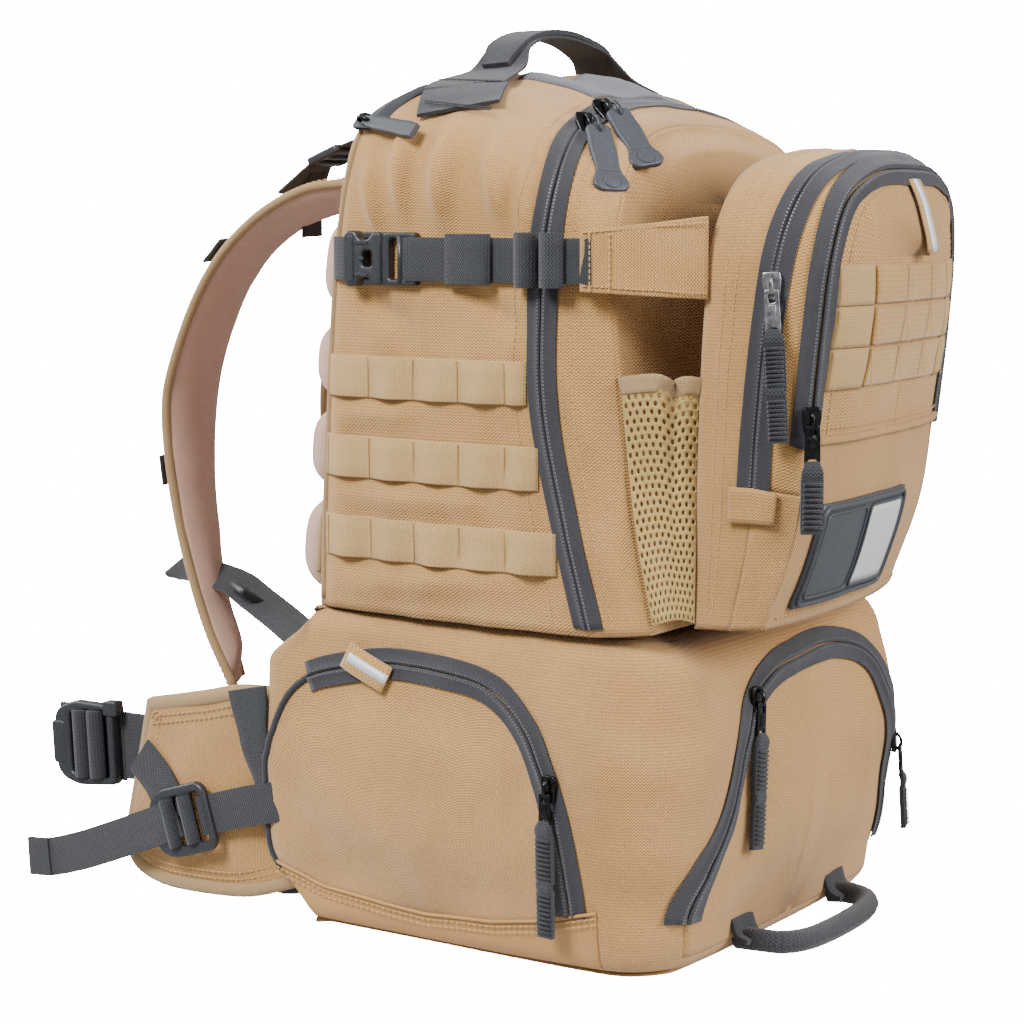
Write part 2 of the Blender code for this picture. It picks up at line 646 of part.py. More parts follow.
def make_shoulder(side, name):
    pivot = (side * SHOULDER_PIVOT[0], SHOULDER_PIVOT[1], SHOULDER_PIVOT[2])
    make_body("shoulder_" + name, pivot, "pack")
    route = ((0.062, 0.100, 0.4620), (0.064, 0.148, 0.4540), (0.067, 0.197, 0.4270), (0.071, 0.237, 0.3770),
             (0.074, 0.258, 0.3120), (0.077, 0.258, 0.2500), (0.080, 0.242, 0.1950), (0.083, 0.218, 0.1560))
    path = smooth_path([(side * x, y, z) for x, y, z in route], 18)
    add_piece("shoulder_" + name, ribbon(path, (1, 0, 0), 0.066, 0.014), "padding", "shoulder_" + name)

    web = [Vector((side * x, y, z)) for x, y, z in
           ((0.0865, 0.2020, 0.1520), (0.101, 0.172, 0.1560), (0.119, 0.137, 0.1620), (0.121, 0.104, 0.1680))]
    add_piece("lower_web_" + name, ribbon(web, (1, 0, 0), WEB, WEB_THICK),
              "black_webbing", "shoulder_" + name)

    lifter_route = ((0.104, 0.4905), (0.118, 0.4875), (0.1285, 0.4840))
    lifter = [Vector((side * 0.062, y, z)) for y, z in lifter_route]
    add_piece("lifter_web_" + name, ribbon(lifter, (1, 0, 0), WEB, WEB_THICK),
              "black_webbing", "shoulder_" + name)
    plan = ribbon([Vector((side * 0.062, 0.1300, 0.4830)), Vector((side * 0.062, 0.1540, 0.4700))],
                  (1, 0, 0), 0.034, 0.007)
    add_piece("lifter_buckle_" + name, plan, "black_plastic", "shoulder_" + name)


def make_hip(side, name):
    body = "hip_wing_" + name
    make_body(body, (side * HIP_PIVOT[0], HIP_PIVOT[1], HIP_PIVOT[2]), "pack")
    route = ((0.124, 0.1010), (0.143, 0.132), (0.152, 0.175), (0.151, 0.220), (0.1465, 0.258))
    low_high = ((0.040, 0.138), (0.016, 0.140), (0.008, 0.141), (0.012, 0.138), (0.030, 0.128))
    path = smooth_path([(side * x, y, 0) for x, y in route], 12)
    heights = smooth_path([(low, high, 0) for low, high in low_high], 12)
    bm = bmesh.new()
    rings = []
    thickness = 0.014
    for i, point in enumerate(path):
        ahead = (path[min(i + 1, len(path) - 1)] - path[max(i - 1, 0)]).normalized()
        out = ahead.cross(Vector((0, 0, 1))) * side
        low, high = heights[i].x, heights[i].y
        ring = []
        for offset, z in ((-1, low), (1, low), (1, high), (-1, high)):
            ring.append(bm.verts.new(Vector((point.x, point.y, z)) + out * offset * thickness / 2))
        rings.append(ring)
    for one, two in zip(rings, rings[1:]):
        for i in range(4):
            after = (i + 1) % 4
            bm.faces.new((one[i], one[after], two[after], two[i]))
    bm.faces.new(rings[0])
    bm.faces.new(reversed(rings[-1]))
    wing = add_piece("hip_wing_" + name, bm, "padding", body)
    bevel(wing, 0.003, 1, 60)

    tip = (side * HIP_TIP[0], HIP_TIP[1], HIP_TIP[2])
    make_body("hip_buckle_" + name, tip, body)
    buckle = prism("Z", [(side * (HIP_TIP[0] + a), HIP_TIP[1] + b) for a, b in
                         ((-0.005, 0.0005), (0.005, 0.0005), (0.004, 0.056), (-0.004, 0.056))], 0.060, 0.120)
    piece = add_piece("hip_buckle_" + name, buckle, "black_plastic", "hip_buckle_" + name)
    for tag, low, high in (("a", 0.012, 0.022), ("b", 0.030, 0.040)):
        slot = block((side * 0.10, HIP_TIP[1] + low, 0.066), (side * 0.20, HIP_TIP[1] + high, 0.114))
        add_cutter("hip_slot_" + tag + "_" + name, slot, piece, "DIFFERENCE")

    lock = [Vector((side * 0.1640, 0.178, 0.058)), Vector((side * 0.1640, 0.206, 0.050))]
    add_piece("stabiliser_lock_" + name, ribbon(lock, (0, 0, 1), 0.036, 0.007), "black_plastic", body)
    tail_route = (
        (0.1640, 0.2085, 0.0500), (0.1660, 0.240, 0.0390), (0.1655, 0.285, 0.0265), (0.1640, 0.324, 0.0165),
    )
    tail = [Vector((side * x, y, z)) for x, y, z in tail_route]
    add_piece("stabiliser_tail_" + name, ribbon(tail, (0, 0, 1), WEB, WEB_THICK), "black_webbing", body)


clear_scene()
make_materials()
make_body("pack")
make_main_shell()
make_base()
make_back()
make_carry_handle()
make_back_zip_puller()
make_main_panel()
make_main_pullers()
make_pouch()
make_pouch_zips()
make_front_flap()
make_drag_handle()
for sign, hand in ((-1, "left"), (1, "right")):
    make_molle(sign, hand)
    make_female_buckle(sign, hand)
    make_wing_and_strap(sign, hand)
    make_side_flap(sign, hand)
    make_shoulder(sign, hand)
    make_hip(sign, hand)
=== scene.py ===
"""Looks of the tan load pack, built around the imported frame. Metres, +Z up, wearer at +Y."""
import math

import bmesh
import bpy
from mathutils import Matrix, Vector, noise


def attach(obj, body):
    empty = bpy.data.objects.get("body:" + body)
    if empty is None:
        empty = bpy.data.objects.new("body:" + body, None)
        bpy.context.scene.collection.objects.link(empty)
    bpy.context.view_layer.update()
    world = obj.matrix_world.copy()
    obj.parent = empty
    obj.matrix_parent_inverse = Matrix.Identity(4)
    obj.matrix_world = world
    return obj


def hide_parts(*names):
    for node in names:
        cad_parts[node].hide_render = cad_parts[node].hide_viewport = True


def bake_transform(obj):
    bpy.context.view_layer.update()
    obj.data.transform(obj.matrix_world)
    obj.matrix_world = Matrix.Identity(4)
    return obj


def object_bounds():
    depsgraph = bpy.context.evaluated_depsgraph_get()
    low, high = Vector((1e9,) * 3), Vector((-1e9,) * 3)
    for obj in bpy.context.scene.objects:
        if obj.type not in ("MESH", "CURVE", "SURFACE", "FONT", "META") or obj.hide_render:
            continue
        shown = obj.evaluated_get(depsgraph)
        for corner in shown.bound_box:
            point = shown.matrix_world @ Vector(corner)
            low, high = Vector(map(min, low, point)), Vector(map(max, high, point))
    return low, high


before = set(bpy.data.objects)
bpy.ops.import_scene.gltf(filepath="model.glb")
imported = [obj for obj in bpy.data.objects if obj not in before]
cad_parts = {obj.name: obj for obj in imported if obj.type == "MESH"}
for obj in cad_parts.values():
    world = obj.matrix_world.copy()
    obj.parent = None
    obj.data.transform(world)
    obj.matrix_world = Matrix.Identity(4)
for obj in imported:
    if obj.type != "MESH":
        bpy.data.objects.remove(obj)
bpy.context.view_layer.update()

UP = Vector((0, 0, 1))
BACK = Vector((0, 1, 0))
TAPE_HALF = 0.0096
PALS_Z = (0.246, 0.2945, 0.343)
STRAP_Z = 0.413
POUCH_PIVOT = Vector((0, -0.146, 0))
POUCH_TURN = (Matrix.Translation(POUCH_PIVOT) @ Matrix.Rotation(math.radians(6), 4, "Z")
              @ Matrix.Translation(-POUCH_PIVOT))
SIDES = ((-1, "left"), (1, "right"))
WEB_WIDTH = 0.0254
CLOTH = 0.0016
CAMERA_PLACE = (-1.315, -0.838, 0.442)
CAMERA_TURN = -56
CAMERA_TILT = 7.05
CAMERA_LENS = 86.13

MATS = {}


# ------------------------------------------------------------------ materials

class Nodes:
    """Small helper to write a node tree line by line."""

    def __init__(self, name, roughness, metallic=0.0, sheen=0.0, specular=0.4):
        self.mat = bpy.data.materials.new(name)
        self.mat.use_nodes = True
        self.tree = self.mat.node_tree
        self.shader = self.tree.nodes["Principled BSDF"]
        self.shader.inputs["Roughness"].default_value = roughness
        self.shader.inputs["Metallic"].default_value = metallic
        self.shader.inputs["Sheen Weight"].default_value = sheen
        self.shader.inputs["Sheen Roughness"].default_value = 0.5
        self.shader.inputs["Specular IOR Level"].default_value = specular
        self.coords = self.add("ShaderNodeTexCoord")
        MATS[name] = self.mat

    def add(self, kind, **values):
        node = self.tree.nodes.new(kind)
        for key, value in values.items():
            setattr(node, key, value)
        return node

    def link(self, out, into):
        self.tree.links.new(out, into)

    def math(self, operation, a, b=None):
        node = self.add("ShaderNodeMath", operation=operation)
        for i, value in enumerate((a, b)):
            if value is None:
                continue
            if isinstance(value, (int, float)):
                node.inputs[i].default_value = value
            else:
                self.link(value, node.inputs[i])
        return node.outputs[0]

    def noise(self, scale, detail=3.0, vector=None, roughness=0.55):
        node = self.add("ShaderNodeTexNoise")
        node.inputs["Scale"].default_value = scale
        node.inputs["Detail"].default_value = detail
        node.inputs["Roughness"].default_value = roughness
        self.link(vector or self.coords.outputs["Object"], node.inputs["Vector"])
        return node.outputs["Fac"]

    def ramp(self, value, stops):
        node = self.add("ShaderNodeValToRGB")
        ramp = node.color_ramp
        while len(ramp.elements) < len(stops):
            ramp.elements.new(0.5)
        for element, (position, colour) in zip(ramp.elements, stops):
            element.position = position
            element.color = (*colour, 1.0)
        self.link(value, node.inputs["Fac"])
        return node.outputs["Color"]

    def colour(self, value):
        if isinstance(value, tuple):
            self.shader.inputs["Base Color"].default_value = (*value, 1.0)
        else:
            self.link(value, self.shader.inputs["Base Color"])

    def bump(self, height, strength, distance):
        node = self.add("ShaderNodeBump")
        node.inputs["Strength"].default_value = strength
        node.inputs["Distance"].default_value = distance
        self.link(height, node.inputs["Height"])
        self.link(node.outputs["Normal"], self.shader.inputs["Normal"])

    def uv_weave(self, across, along):
        """Plain weave in the mesh's own UV, whose unit is a metre; returns a height from 0 to 1."""
        split = self.add("ShaderNodeSeparateXYZ")
        self.link(self.coords.outputs["UV"], split.inputs[0])
        u = self.math("MULTIPLY", split.outputs["X"], 2 * math.pi / across)
        v = self.math("MULTIPLY", split.outputs["Y"], 2 * math.pi / along)
        rows = self.math("MULTIPLY", self.math("SINE", u), self.math("SINE", v))
        fine = self.math("ABSOLUTE", self.math("SINE", self.math("MULTIPLY", v, 0.5)))
        return self.math("ADD", self.math("MULTIPLY", rows, 0.5),
                         self.math("ADD", self.math("MULTIPLY", fine, 0.3), 0.35))


def woven(name, light, dark, across, along, bump, roughness=0.85, sheen=0.2, mottling=0.35, fuzz=0.0):
    """Cloth with a weave in metres, thread-to-thread speckle and slow colour change."""
    n = Nodes(name, roughness, sheen=sheen, specular=0.25)
    weave = n.uv_weave(across, along)
    speckle = n.noise(700.0, 2.0)
    slow = n.noise(14.0, 4.0)
    shade = n.math("ADD", n.math("MULTIPLY", weave, 0.55), n.math("MULTIPLY", speckle, 0.45))
    shade = n.math("ADD", shade, n.math("MULTIPLY", n.math("SUBTRACT", slow, 0.5), mottling))
    n.colour(n.ramp(shade, [(0.28, dark), (0.64, light)]))
    height = weave
    if fuzz:
        height = n.math("ADD", n.math("MULTIPLY", weave, 0.3), n.math("MULTIPLY", n.noise(1400.0, 3.0),
                fuzz))
    n.bump(height, 1.0, bump)
    return n


def grained(name, light, dark, roughness, scale, detail, strength, distance=0.0001, low=0.3, **look):
    """Hard or smooth material whose fine grain varies both its colour and its relief."""
    n = Nodes(name, roughness, **look)
    grain = n.noise(scale, detail)
    n.colour(n.ramp(grain, [(low, dark), (0.7, light)]))
    n.bump(grain, strength, distance)


def make_materials():
    woven("tan_fabric", (0.58, 0.322, 0.112), (0.32, 0.162, 0.048), 0.0019, 0.0019, 0.0005, sheen=0.25)
    woven("tan_webbing", (0.6, 0.39, 0.165), (0.37, 0.22, 0.078), 0.002, 0.0015, 0.00045, sheen=0.15)
    woven("binding", (0.44, 0.29, 0.14), (0.3, 0.185, 0.084), 0.0014, 0.001, 0.0003)
    woven("loop", (0.58, 0.325, 0.09), (0.36, 0.182, 0.04), 0.003, 0.003, 0.0006, sheen=0.5, fuzz=1.2)
    woven("mesh", (0.54, 0.385, 0.135), (0.35, 0.235, 0.074), 0.0009, 0.0009, 0.00018)
    woven("webbing", (0.038, 0.04, 0.046), (0.014, 0.015, 0.018), 0.0024, 0.0016, 0.00045, roughness=0.75)
    woven("tape", (0.044, 0.045, 0.053), (0.021, 0.022, 0.027), 0.0014, 0.0014, 0.00025, roughness=0.78)
    woven("grey_loop", (0.15, 0.155, 0.168), (0.075, 0.078, 0.088), 0.0026, 0.0026, 0.0005, fuzz=1.2)
    woven("padding", (0.61, 0.385, 0.295), (0.5, 0.3, 0.225), 0.0011, 0.0011, 0.0002, sheen=0.35)

    n = Nodes("boot", 0.52, specular=0.45)
    grain = n.noise(420.0, 4.0)
    slow = n.noise(9.0, 3.0)
    shade = n.math("ADD", n.math("MULTIPLY", slow, 0.7), n.math("MULTIPLY", grain, 0.3))
    n.colour(n.ramp(shade, [(0.3, (0.39, 0.205, 0.066)), (0.7, (0.48, 0.265, 0.092))]))
    n.bump(grain, 0.5, 0.0002)

    for name, light, dark, roughness, scale in (
            ("plastic", (0.03, 0.032, 0.04), (0.016, 0.017, 0.021), 0.38, 600.0),
            ("rubber", (0.058, 0.064, 0.076), (0.036, 0.04, 0.048), 0.5, 900.0),
            ("coil", (0.13, 0.133, 0.145), (0.062, 0.064, 0.072), 0.42, 1200.0),
            ("frame_plastic", (0.05, 0.05, 0.052), (0.03, 0.03, 0.03), 0.6, 300.0)):
        grained(name, light, dark, roughness, scale, 3.0, 0.25, specular=0.5)
    for name, light, dark in (("tan_thread", (0.62, 0.4, 0.17), (0.36, 0.21, 0.08)),
                              ("black_thread", (0.05, 0.05, 0.055), (0.02, 0.02, 0.022))):
        grained(name, light, dark, 0.7, 2500.0, 2.0, 0.5, 0.0002, sheen=0.1, specular=0.3)
    for name, light, dark, roughness in (("metal", (0.42, 0.42, 0.44), (0.16, 0.16, 0.17), 0.32),
                                         ("dark_metal", (0.045, 0.045, 0.05), (0.02, 0.02, 0.022), 0.25),
                                         ("aluminium", (0.75, 0.75, 0.77), (0.55, 0.55, 0.57), 0.35)):
        grained(name, light, dark, roughness, 300.0, 4.0, 0.2, 0.00008, 0.35, metallic=1.0)
    grained("reflective", (0.72, 0.74, 0.78), (0.52, 0.54, 0.57), 0.35, 1800.0, 2.0, 0.4, specular=0.7)
    grained("window", (0.6, 0.6, 0.598), (0.5, 0.5, 0.5), 0.42, 500.0, 3.0, 0.3, specular=0.5)


# ------------------------------------------------------------------ mesh building

def outward_faces(bm):
    """Make the faces of a closed shape point outward."""
    bmesh.ops.recalc_face_normals(bm, faces=bm.faces)


def finish_piece(name, bm, mats, body, smooth=True, thickness=0.0, offset=-1.0):
    """Mesh to object with materials; an optional shell thickness; rides on its body."""
    mesh = bpy.data.meshes.new(name)
    bm.to_mesh(mesh)
    bm.free()
    for key in mats:
        mesh.materials.append(MATS[key])
    if smooth:
        mesh.shade_smooth()
    obj = bpy.data.objects.new(name, mesh)
    bpy.context.collection.objects.link(obj)
    if thickness:
        shell = obj.modifiers.new("thickness", "SOLIDIFY")
        shell.thickness = thickness
        shell.offset = offset
    if body:
        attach(obj, body)
    return obj


def grid_mesh(rows, keep=None, closed=False):
    """Quads through a list of rows of points; UVs are arc lengths in metres."""
    bm = bmesh.new()
    layer = bm.loops.layers.uv.new("UV")
    verts = [[bm.verts.new(p) for p in row] for row in rows]
    count = len(rows[0])
    v_len = [0.0]
    middle = count // 2
    for one, two in zip(rows, rows[1:]):
        v_len.append(v_len[-1] + (two[middle] - one[middle]).length)
    u_len = [0.0]
    half = rows[len(rows) // 2]
    for i in range(count if closed else count - 1):
        u_len.append(u_len[-1] + (half[(i + 1) % count] - half[i]).length)
    for r in range(len(rows) - 1):
        for i in range(count if closed else count - 1):
            if keep and not keep(r, i):
                continue
            j = (i + 1) % count
            quad = (verts[r][i], verts[r][j], verts[r + 1][j], verts[r + 1][i])
            uvs = ((u_len[i], v_len[r]), (u_len[i + 1], v_len[r]), (u_len[i + 1], v_len[r + 1]),
                   (u_len[i], v_len[r + 1]))
            face = bm.faces.new(quad)
            for loop, uv in zip(face.loops, uvs):
                loop[layer].uv = uv
    loose = [v for v in bm.verts if not v.link_faces]
    bmesh.ops.delete(bm, geom=loose, context="VERTS")
    return bm


def smooth_path(points, count):
    """Points at an even parameter along a Catmull-Rom curve."""
    knots = [Vector(p) for p in points]
    knots = [2 * knots[0] - knots[1]] + knots + [2 * knots[-1] - knots[-2]]
    spans = len(knots) - 3
    path = []
    for i in range(count + 1):
        value = spans * i / count
        span = min(int(value), spans - 1)
        t = value - span
        a, b, c, d = knots[span:span + 4]
        path.append(0.5 * (2 * b + (c - a) * t + (2 * a - 5 * b + 4 * c - d) * t * t
                           + (3 * b - a - 3 * c + d) * t ** 3))
    return path


def sided(side, *points):
    """Points written for the +X side, moved to the given side."""
    return [Vector((side * x, y, z)) for x, y, z in points]


def vectors(*points):
    """Points written as plain numbers."""
    return [Vector(p) for p in points]


def curve_at(knots, s):
    """Catmull-Rom value at s in 0..1 along a list of vectors."""
    spans = len(knots) - 1
    value = max(0.0, min(1.0, s)) * spans
    span = min(int(value), spans - 1)
    t = value - span
    b, c = knots[span], knots[span + 1]
    a = knots[span - 1] if span else 2 * b - c
    d = knots[span + 2] if span + 2 <= spans else 2 * c - b
    return 0.5 * (2 * b + (c - a) * t + (2 * a - 5 * b + 4 * c - d) * t * t + (3 * b - a - 3 * c + d)
                  * t ** 3)


def mirror_arch(half):
    """Left half of an arch, from foot to crown, completed by its mirror image."""
    left = [Vector(p) for p in half]
    return left + [Vector((-p.x, p.y, p.z)) for p in reversed(left[:-1])]


def resample(path, step):
    """Even arc-length points along a polyline."""
    total = sum((b - a).length for a, b in zip(path, path[1:]))
    count = max(2, int(round(total / step)))
    out, index, walked = [], 0, 0.0
    for k in range(count + 1):
        target = total * k / count
        while index < len(path) - 2 and walked + (path[index + 1] - path[index]).length < target:
            walked += (path[index + 1] - path[index]).length
            index += 1
        span = (path[index + 1] - path[index]).length or 1e-9
        out.append(path[index].lerp(path[index + 1], min(1.0, (target - walked) / span)))
    return out


def wrinkle(p, scale, amount, stretch=(1, 1, 1), seed=0.0):
    q = Vector((p.x * stretch[0], p.y * stretch[1], p.z * stretch[2])) * scale + Vector((seed, seed * 1.7,
            seed * 0.3))
    return amount * noise.noise(q)


def crease(p, start, end, width, depth):
    """Smooth fold along a segment; positive depth stands proud."""
    line = end - start
    t = max(0.0, min(1.0, (p - start).dot(line) / line.length_squared))
    gap = (p - (start + line * t)).length
    if gap > 3 * width:
        return 0.0
    fade = math.sin(math.pi * (0.08 + 0.84 * t))
    return depth * fade * math.exp(-(gap / width) ** 2)


class Surface:
    """Two-parameter sheet: base(s, t), pushed along its normal by height(p, s, t)."""

    def __init__(self, base, height=None, matrix=None, outward=None):
        self.base = base
        self.height = height
        self.matrix = matrix
        self.outward = outward

    def raw_normal(self, s, t):
        e = 0.004
        s0, s1 = max(0.0, s - e), min(1.0, s + e)
        t0, t1 = max(0.0, t - e), min(1.0, t + e)
        n = (self.base(s1, t) - self.base(s0, t)).cross(self.base(s, t1) - self.base(s, t0))
        n = n.normalized() if n.length > 1e-12 else UP.copy()
        if self.outward and n.dot(self.outward(self.base(s, t))) < 0:
            n.negate()
        return n

    def local(self, s, t, lift=0.0):
        p = self.base(s, t)
        n = self.raw_normal(s, t)
        h = self.height(p, s, t) if self.height else 0.0
        return p + n * (h + lift)

    def at(self, s, t, lift=0.0):
        p = self.local(s, t, lift)
        return self.matrix @ p if self.matrix else p

    def frame(self, s, t, lift=0.0):
        """Point and outward normal in world space."""
        p = self.at(s, t, lift)
        n = self.raw_normal(s, t)
        return p, (self.matrix.to_3x3() @ n if self.matrix else n)


def sheet_piece(name, surface, s_range, t_range, counts, mats, body, thickness=0.0012):
    rows = []
    for i in range(counts[0] + 1):
        s = s_range[0] + (s_range[1] - s_range[0]) * i / counts[0]
        rows.append([surface.at(s, t_range[0] + (t_range[1] - t_range[0]) * k / counts[1])
                     for k in range(counts[1] + 1)])
    bm = grid_mesh(rows)
    orient(bm, surface)
    return finish_piece(name, bm, mats, body, thickness=thickness)


def face_towards(bm, direction, shift=0):
    """Turn all faces over if one in the middle points against the direction."""
    bm.normal_update()
    bm.faces.ensure_lookup_table()
    if bm.faces[len(bm.faces) // 2 + shift].normal.dot(direction) < 0:
        bmesh.ops.reverse_faces(bm, faces=bm.faces)


def orient(bm, surface):
    """Faces point the way the surface's outward rule says."""
    bm.faces.ensure_lookup_table()
    bm.normal_update()
    face = bm.faces[len(bm.faces) // 2]
    centre = face.calc_center_median()
    if surface.outward:
        probe = surface.matrix.inverted() @ centre if surface.matrix else centre
        out = surface.outward(probe)
        if surface.matrix:
            out = surface.matrix.to_3x3() @ out
        if face.normal.dot(out) < 0:
            bmesh.ops.reverse_faces(bm, faces=bm.faces)


# ------------------------------------------------------------------ lines on surfaces

def lengths_of(points):
    """Running arc length at each point of a polyline."""
    lengths = [0.0]
    for one, two in zip(points, points[1:]):
        lengths.append(lengths[-1] + (two - one).length)
    return lengths


def spots(lengths, targets):
    """Segment number and fraction along it of each target length, in rising order."""
    index = 0
    for target in targets:
        while index < len(lengths) - 2 and lengths[index + 1] < target:
            index += 1
        yield index, (target - lengths[index]) / ((lengths[index + 1] - lengths[index]) or 1e-9)


def line_on(surface, places, step=0.004, lift=0.0):
    """Points and normals along a curve of (s, t) places on a surface, evenly spaced."""
    fine = smooth_path([(s, t, 0) for s, t in places], 16 * len(places))
    world = [surface.at(p.x, p.y, lift) for p in fine]
    lengths = lengths_of(world)
    count = max(2, int(round(lengths[-1] / step)))
    out = []
    for index, f in spots(lengths, [lengths[-1] * k / count for k in range(count + 1)]):
        q = fine[index].lerp(fine[index + 1], f)
        out.append(surface.frame(q.x, q.y, lift))
    return out


def tangents(line):
    points = [p for p, _ in line]
    out = []
    for i in range(len(points)):
        one, two = points[max(0, i - 1)], points[min(len(points) - 1, i + 1)]
        out.append((two - one).normalized())
    return out


def strip(name, line, profile, mats, body, thickness=0.0):
    """Ribbon along a line; profile is a list of (across, height) offsets."""
    rows = []
    for (p, n), t in zip(line, tangents(line)):
        side = t.cross(n).normalized()
        rows.append([p + side * a + n * h for a, h in profile])
    bm = grid_mesh(rows)
    face_towards(bm, line[len(line) // 2][1])
    return finish_piece(name, bm, mats, body, thickness=thickness)


def add_bar(bm, start, end, across, up, half_width, height):
    """Low bar with chamfered long edges, for a stitch or a tooth."""
    base = [bm.verts.new(p + across * w * half_width) for p in (start, end) for w in (-1, 1)]
    inset = (end - start) * 0.12
    top = [bm.verts.new(p + across * w * half_width * 0.6 + up * height)
           for p in (start + inset, end - inset) for w in (-1, 1)]
    for quad in ((0, 1, 3, 2), (0, 4, 5, 1), (1, 5, 7, 3), (3, 7, 6, 2), (2, 6, 4, 0), (4, 6, 7, 5)):
        bm.faces.new([(base + top)[k] for k in quad])


def bars_piece(name, bm, mat, body):
    """A piece made of small bars, such as stitches, teeth or tacks."""
    outward_faces(bm)
    return finish_piece(name, bm, [mat], body, smooth=False)


def stitches(name, lines, body, mat="tan_thread", pitch=0.0042, length=0.0031, width=0.00042,
             height=0.0006):
    """Rows of single stitches lying along the given lines."""
    bm = bmesh.new()
    for line in lines:
        points = [p for p, _ in line]
        lengths = lengths_of(points)
        steps = tangents(line)
        targets = [(k + 0.5) * pitch for k in range(int(lengths[-1] / pitch))]
        for index, t in spots(lengths, targets):
            p = points[index].lerp(points[index + 1], t)
            n = line[index][1].lerp(line[index + 1][1], t).normalized()
            d = steps[index]
            side = d.cross(n).normalized()
            add_bar(bm, p - d * length / 2, p + d * length / 2, side, n, width, height)
    return bars_piece(name, bm, mat, body)


HALF_TAPE = ((0.0003, 0.0001), (0.0005, 0.0015), (0.0024, 0.0018), (0.0035, 0.001), (0.0046, 0.0005),
             (0.007, 0.0004), (0.009, 0.0004), (TAPE_HALF - 0.0004, 0.0004), (TAPE_HALF, 0.0001))


def zip_half(name, sampler, count, body, lift=0.0012):
    """One tape of a reverse-coil zip; sampler(k, distance) gives a point and a normal."""
    rows, ridge = [], []
    for k in range(count):
        row = []
        for distance, height in HALF_TAPE:
            p, n = sampler(k, distance)
            row.append(p + n * (height + lift))
        rows.append(row)
        p, n = sampler(k, 0.0019)
        ridge.append((p + n * (lift + 0.0017), n))
    bm = grid_mesh(rows)
    face_towards(bm, ridge[count // 2][1], len(HALF_TAPE) // 2)
    finish_piece(name + "_tape", bm, ["tape"], body, thickness=0.0008)
    stitches(name + "_coil", [ridge], body, mat="coil", pitch=0.0021, length=0.0013, width=0.00055,
             height=0.0004)


def edge_sampler(surface, places, edge_t, way):
    """Sampler that leaves a surface's t edge into the surface; places are s values."""
    def sample(k, distance):
        s = places[k]
        width = (surface.base(s, 1.0) - surface.base(s, 0.0)).length
        t = edge_t + way * min(0.98, distance / width)
        p, n = surface.frame(s, t)
        return p, n
    return sample


def even_places(surface, s0, s1, t, step=0.0045):
    """s values evenly spaced in length along one edge of a surface."""
    fine = [s0 + (s1 - s0) * k / 600 for k in range(601)]
    points = [surface.base(s, t) for s in fine]
    lengths = lengths_of(points)
    count = int(lengths[-1] / step)
    return [fine[index] + (fine[index + 1] - fine[index]) * f
            for index, f in spots(lengths, [lengths[-1] * k / count for k in range(count + 1)])]


# ------------------------------------------------------------------ upper shell and main panel

ARCH_A = mirror_arch(((-0.1505, -0.107, 0.2), (-0.152, -0.09, 0.265), (-0.1525, -0.076, 0.33),
                      (-0.152, -0.0745, 0.385), (-0.149, -0.0755, 0.425), (-0.14, -0.076, 0.456),
                      (-0.118, -0.072, 0.48), (-0.08, -0.066, 0.495), (-0.04, -0.061, 0.502),
                      (0, -0.059, 0.504)))
ARCH_B = mirror_arch(((-0.146, 0.0955, 0.2), (-0.147, 0.092, 0.265), (-0.1475, 0.087, 0.33),
                      (-0.148, 0.083, 0.385), (-0.148, 0.078, 0.43), (-0.1465, 0.072, 0.464),
                      (-0.134, 0.067, 0.494), (-0.098, 0.061, 0.511), (-0.048, 0.058, 0.517),
                      (0, 0.057, 0.518)))
ARCH_C = mirror_arch(((-0.14, -0.141, 0.203), (-0.14, -0.128, 0.262), (-0.1385, -0.118, 0.33),
                      (-0.136, -0.112, 0.385), (-0.131, -0.11, 0.425), (-0.118, -0.107, 0.452),
                      (-0.098, -0.102, 0.472), (-0.068, -0.096, 0.485), (-0.035, -0.092, 0.4905),
                      (0, -0.09, 0.492)))


def smoothstep(low, high, value):
    t = max(0.0, min(1.0, (value - low) / (high - low)))
    return t * t * (3 - 2 * t)


def body_outward(p):
    """Outward direction of the upper body: sideways low down, upward near the top."""
    up = smoothstep(0.42, 0.5, p.z)
    return Vector((math.copysign(1 - up, p.x) if up < 1 else 0.0, 0, up + 1e-6)).normalized()


def shell_base(s, t):
    p = curve_at(ARCH_A, s).lerp(curve_at(ARCH_B, s), t)
    up = smoothstep(0.42, 0.5, p.z)
    swell = 4 * t * (1 - t) * (0.004 + 0.007 * up)
    edge = smoothstep(0.93, 1.0, t)
    return p + body_outward(p) * swell - body_outward(p) * 0.004 * edge


SIDE_CREASES = (((-0.03, 0.486), (-0.046, 0.436), 0.006, 0.0045),
                ((0.0, 0.492), (-0.006, 0.436), 0.007, 0.005), ((0.03, 0.49), (0.022, 0.44), 0.006, 0.0045),
                ((0.052, 0.47), (0.04, 0.428), 0.006, 0.0035), ((-0.052, 0.47), (-0.066, 0.42), 0.005,
                                                                0.003), ((0.06, 0.395), (0.02, 0.372),
        0.008, -0.003), ((-0.02, 0.398), (-0.06, 0.372), 0.007, -0.0025),
                ((0.08, 0.318), (0.01, 0.322), 0.006, 0.002), ((0.075, 0.27), (-0.04, 0.272), 0.006,
                                                               0.0022), ((0.085, 0.215), (-0.06, 0.228),
        0.008, 0.0025))


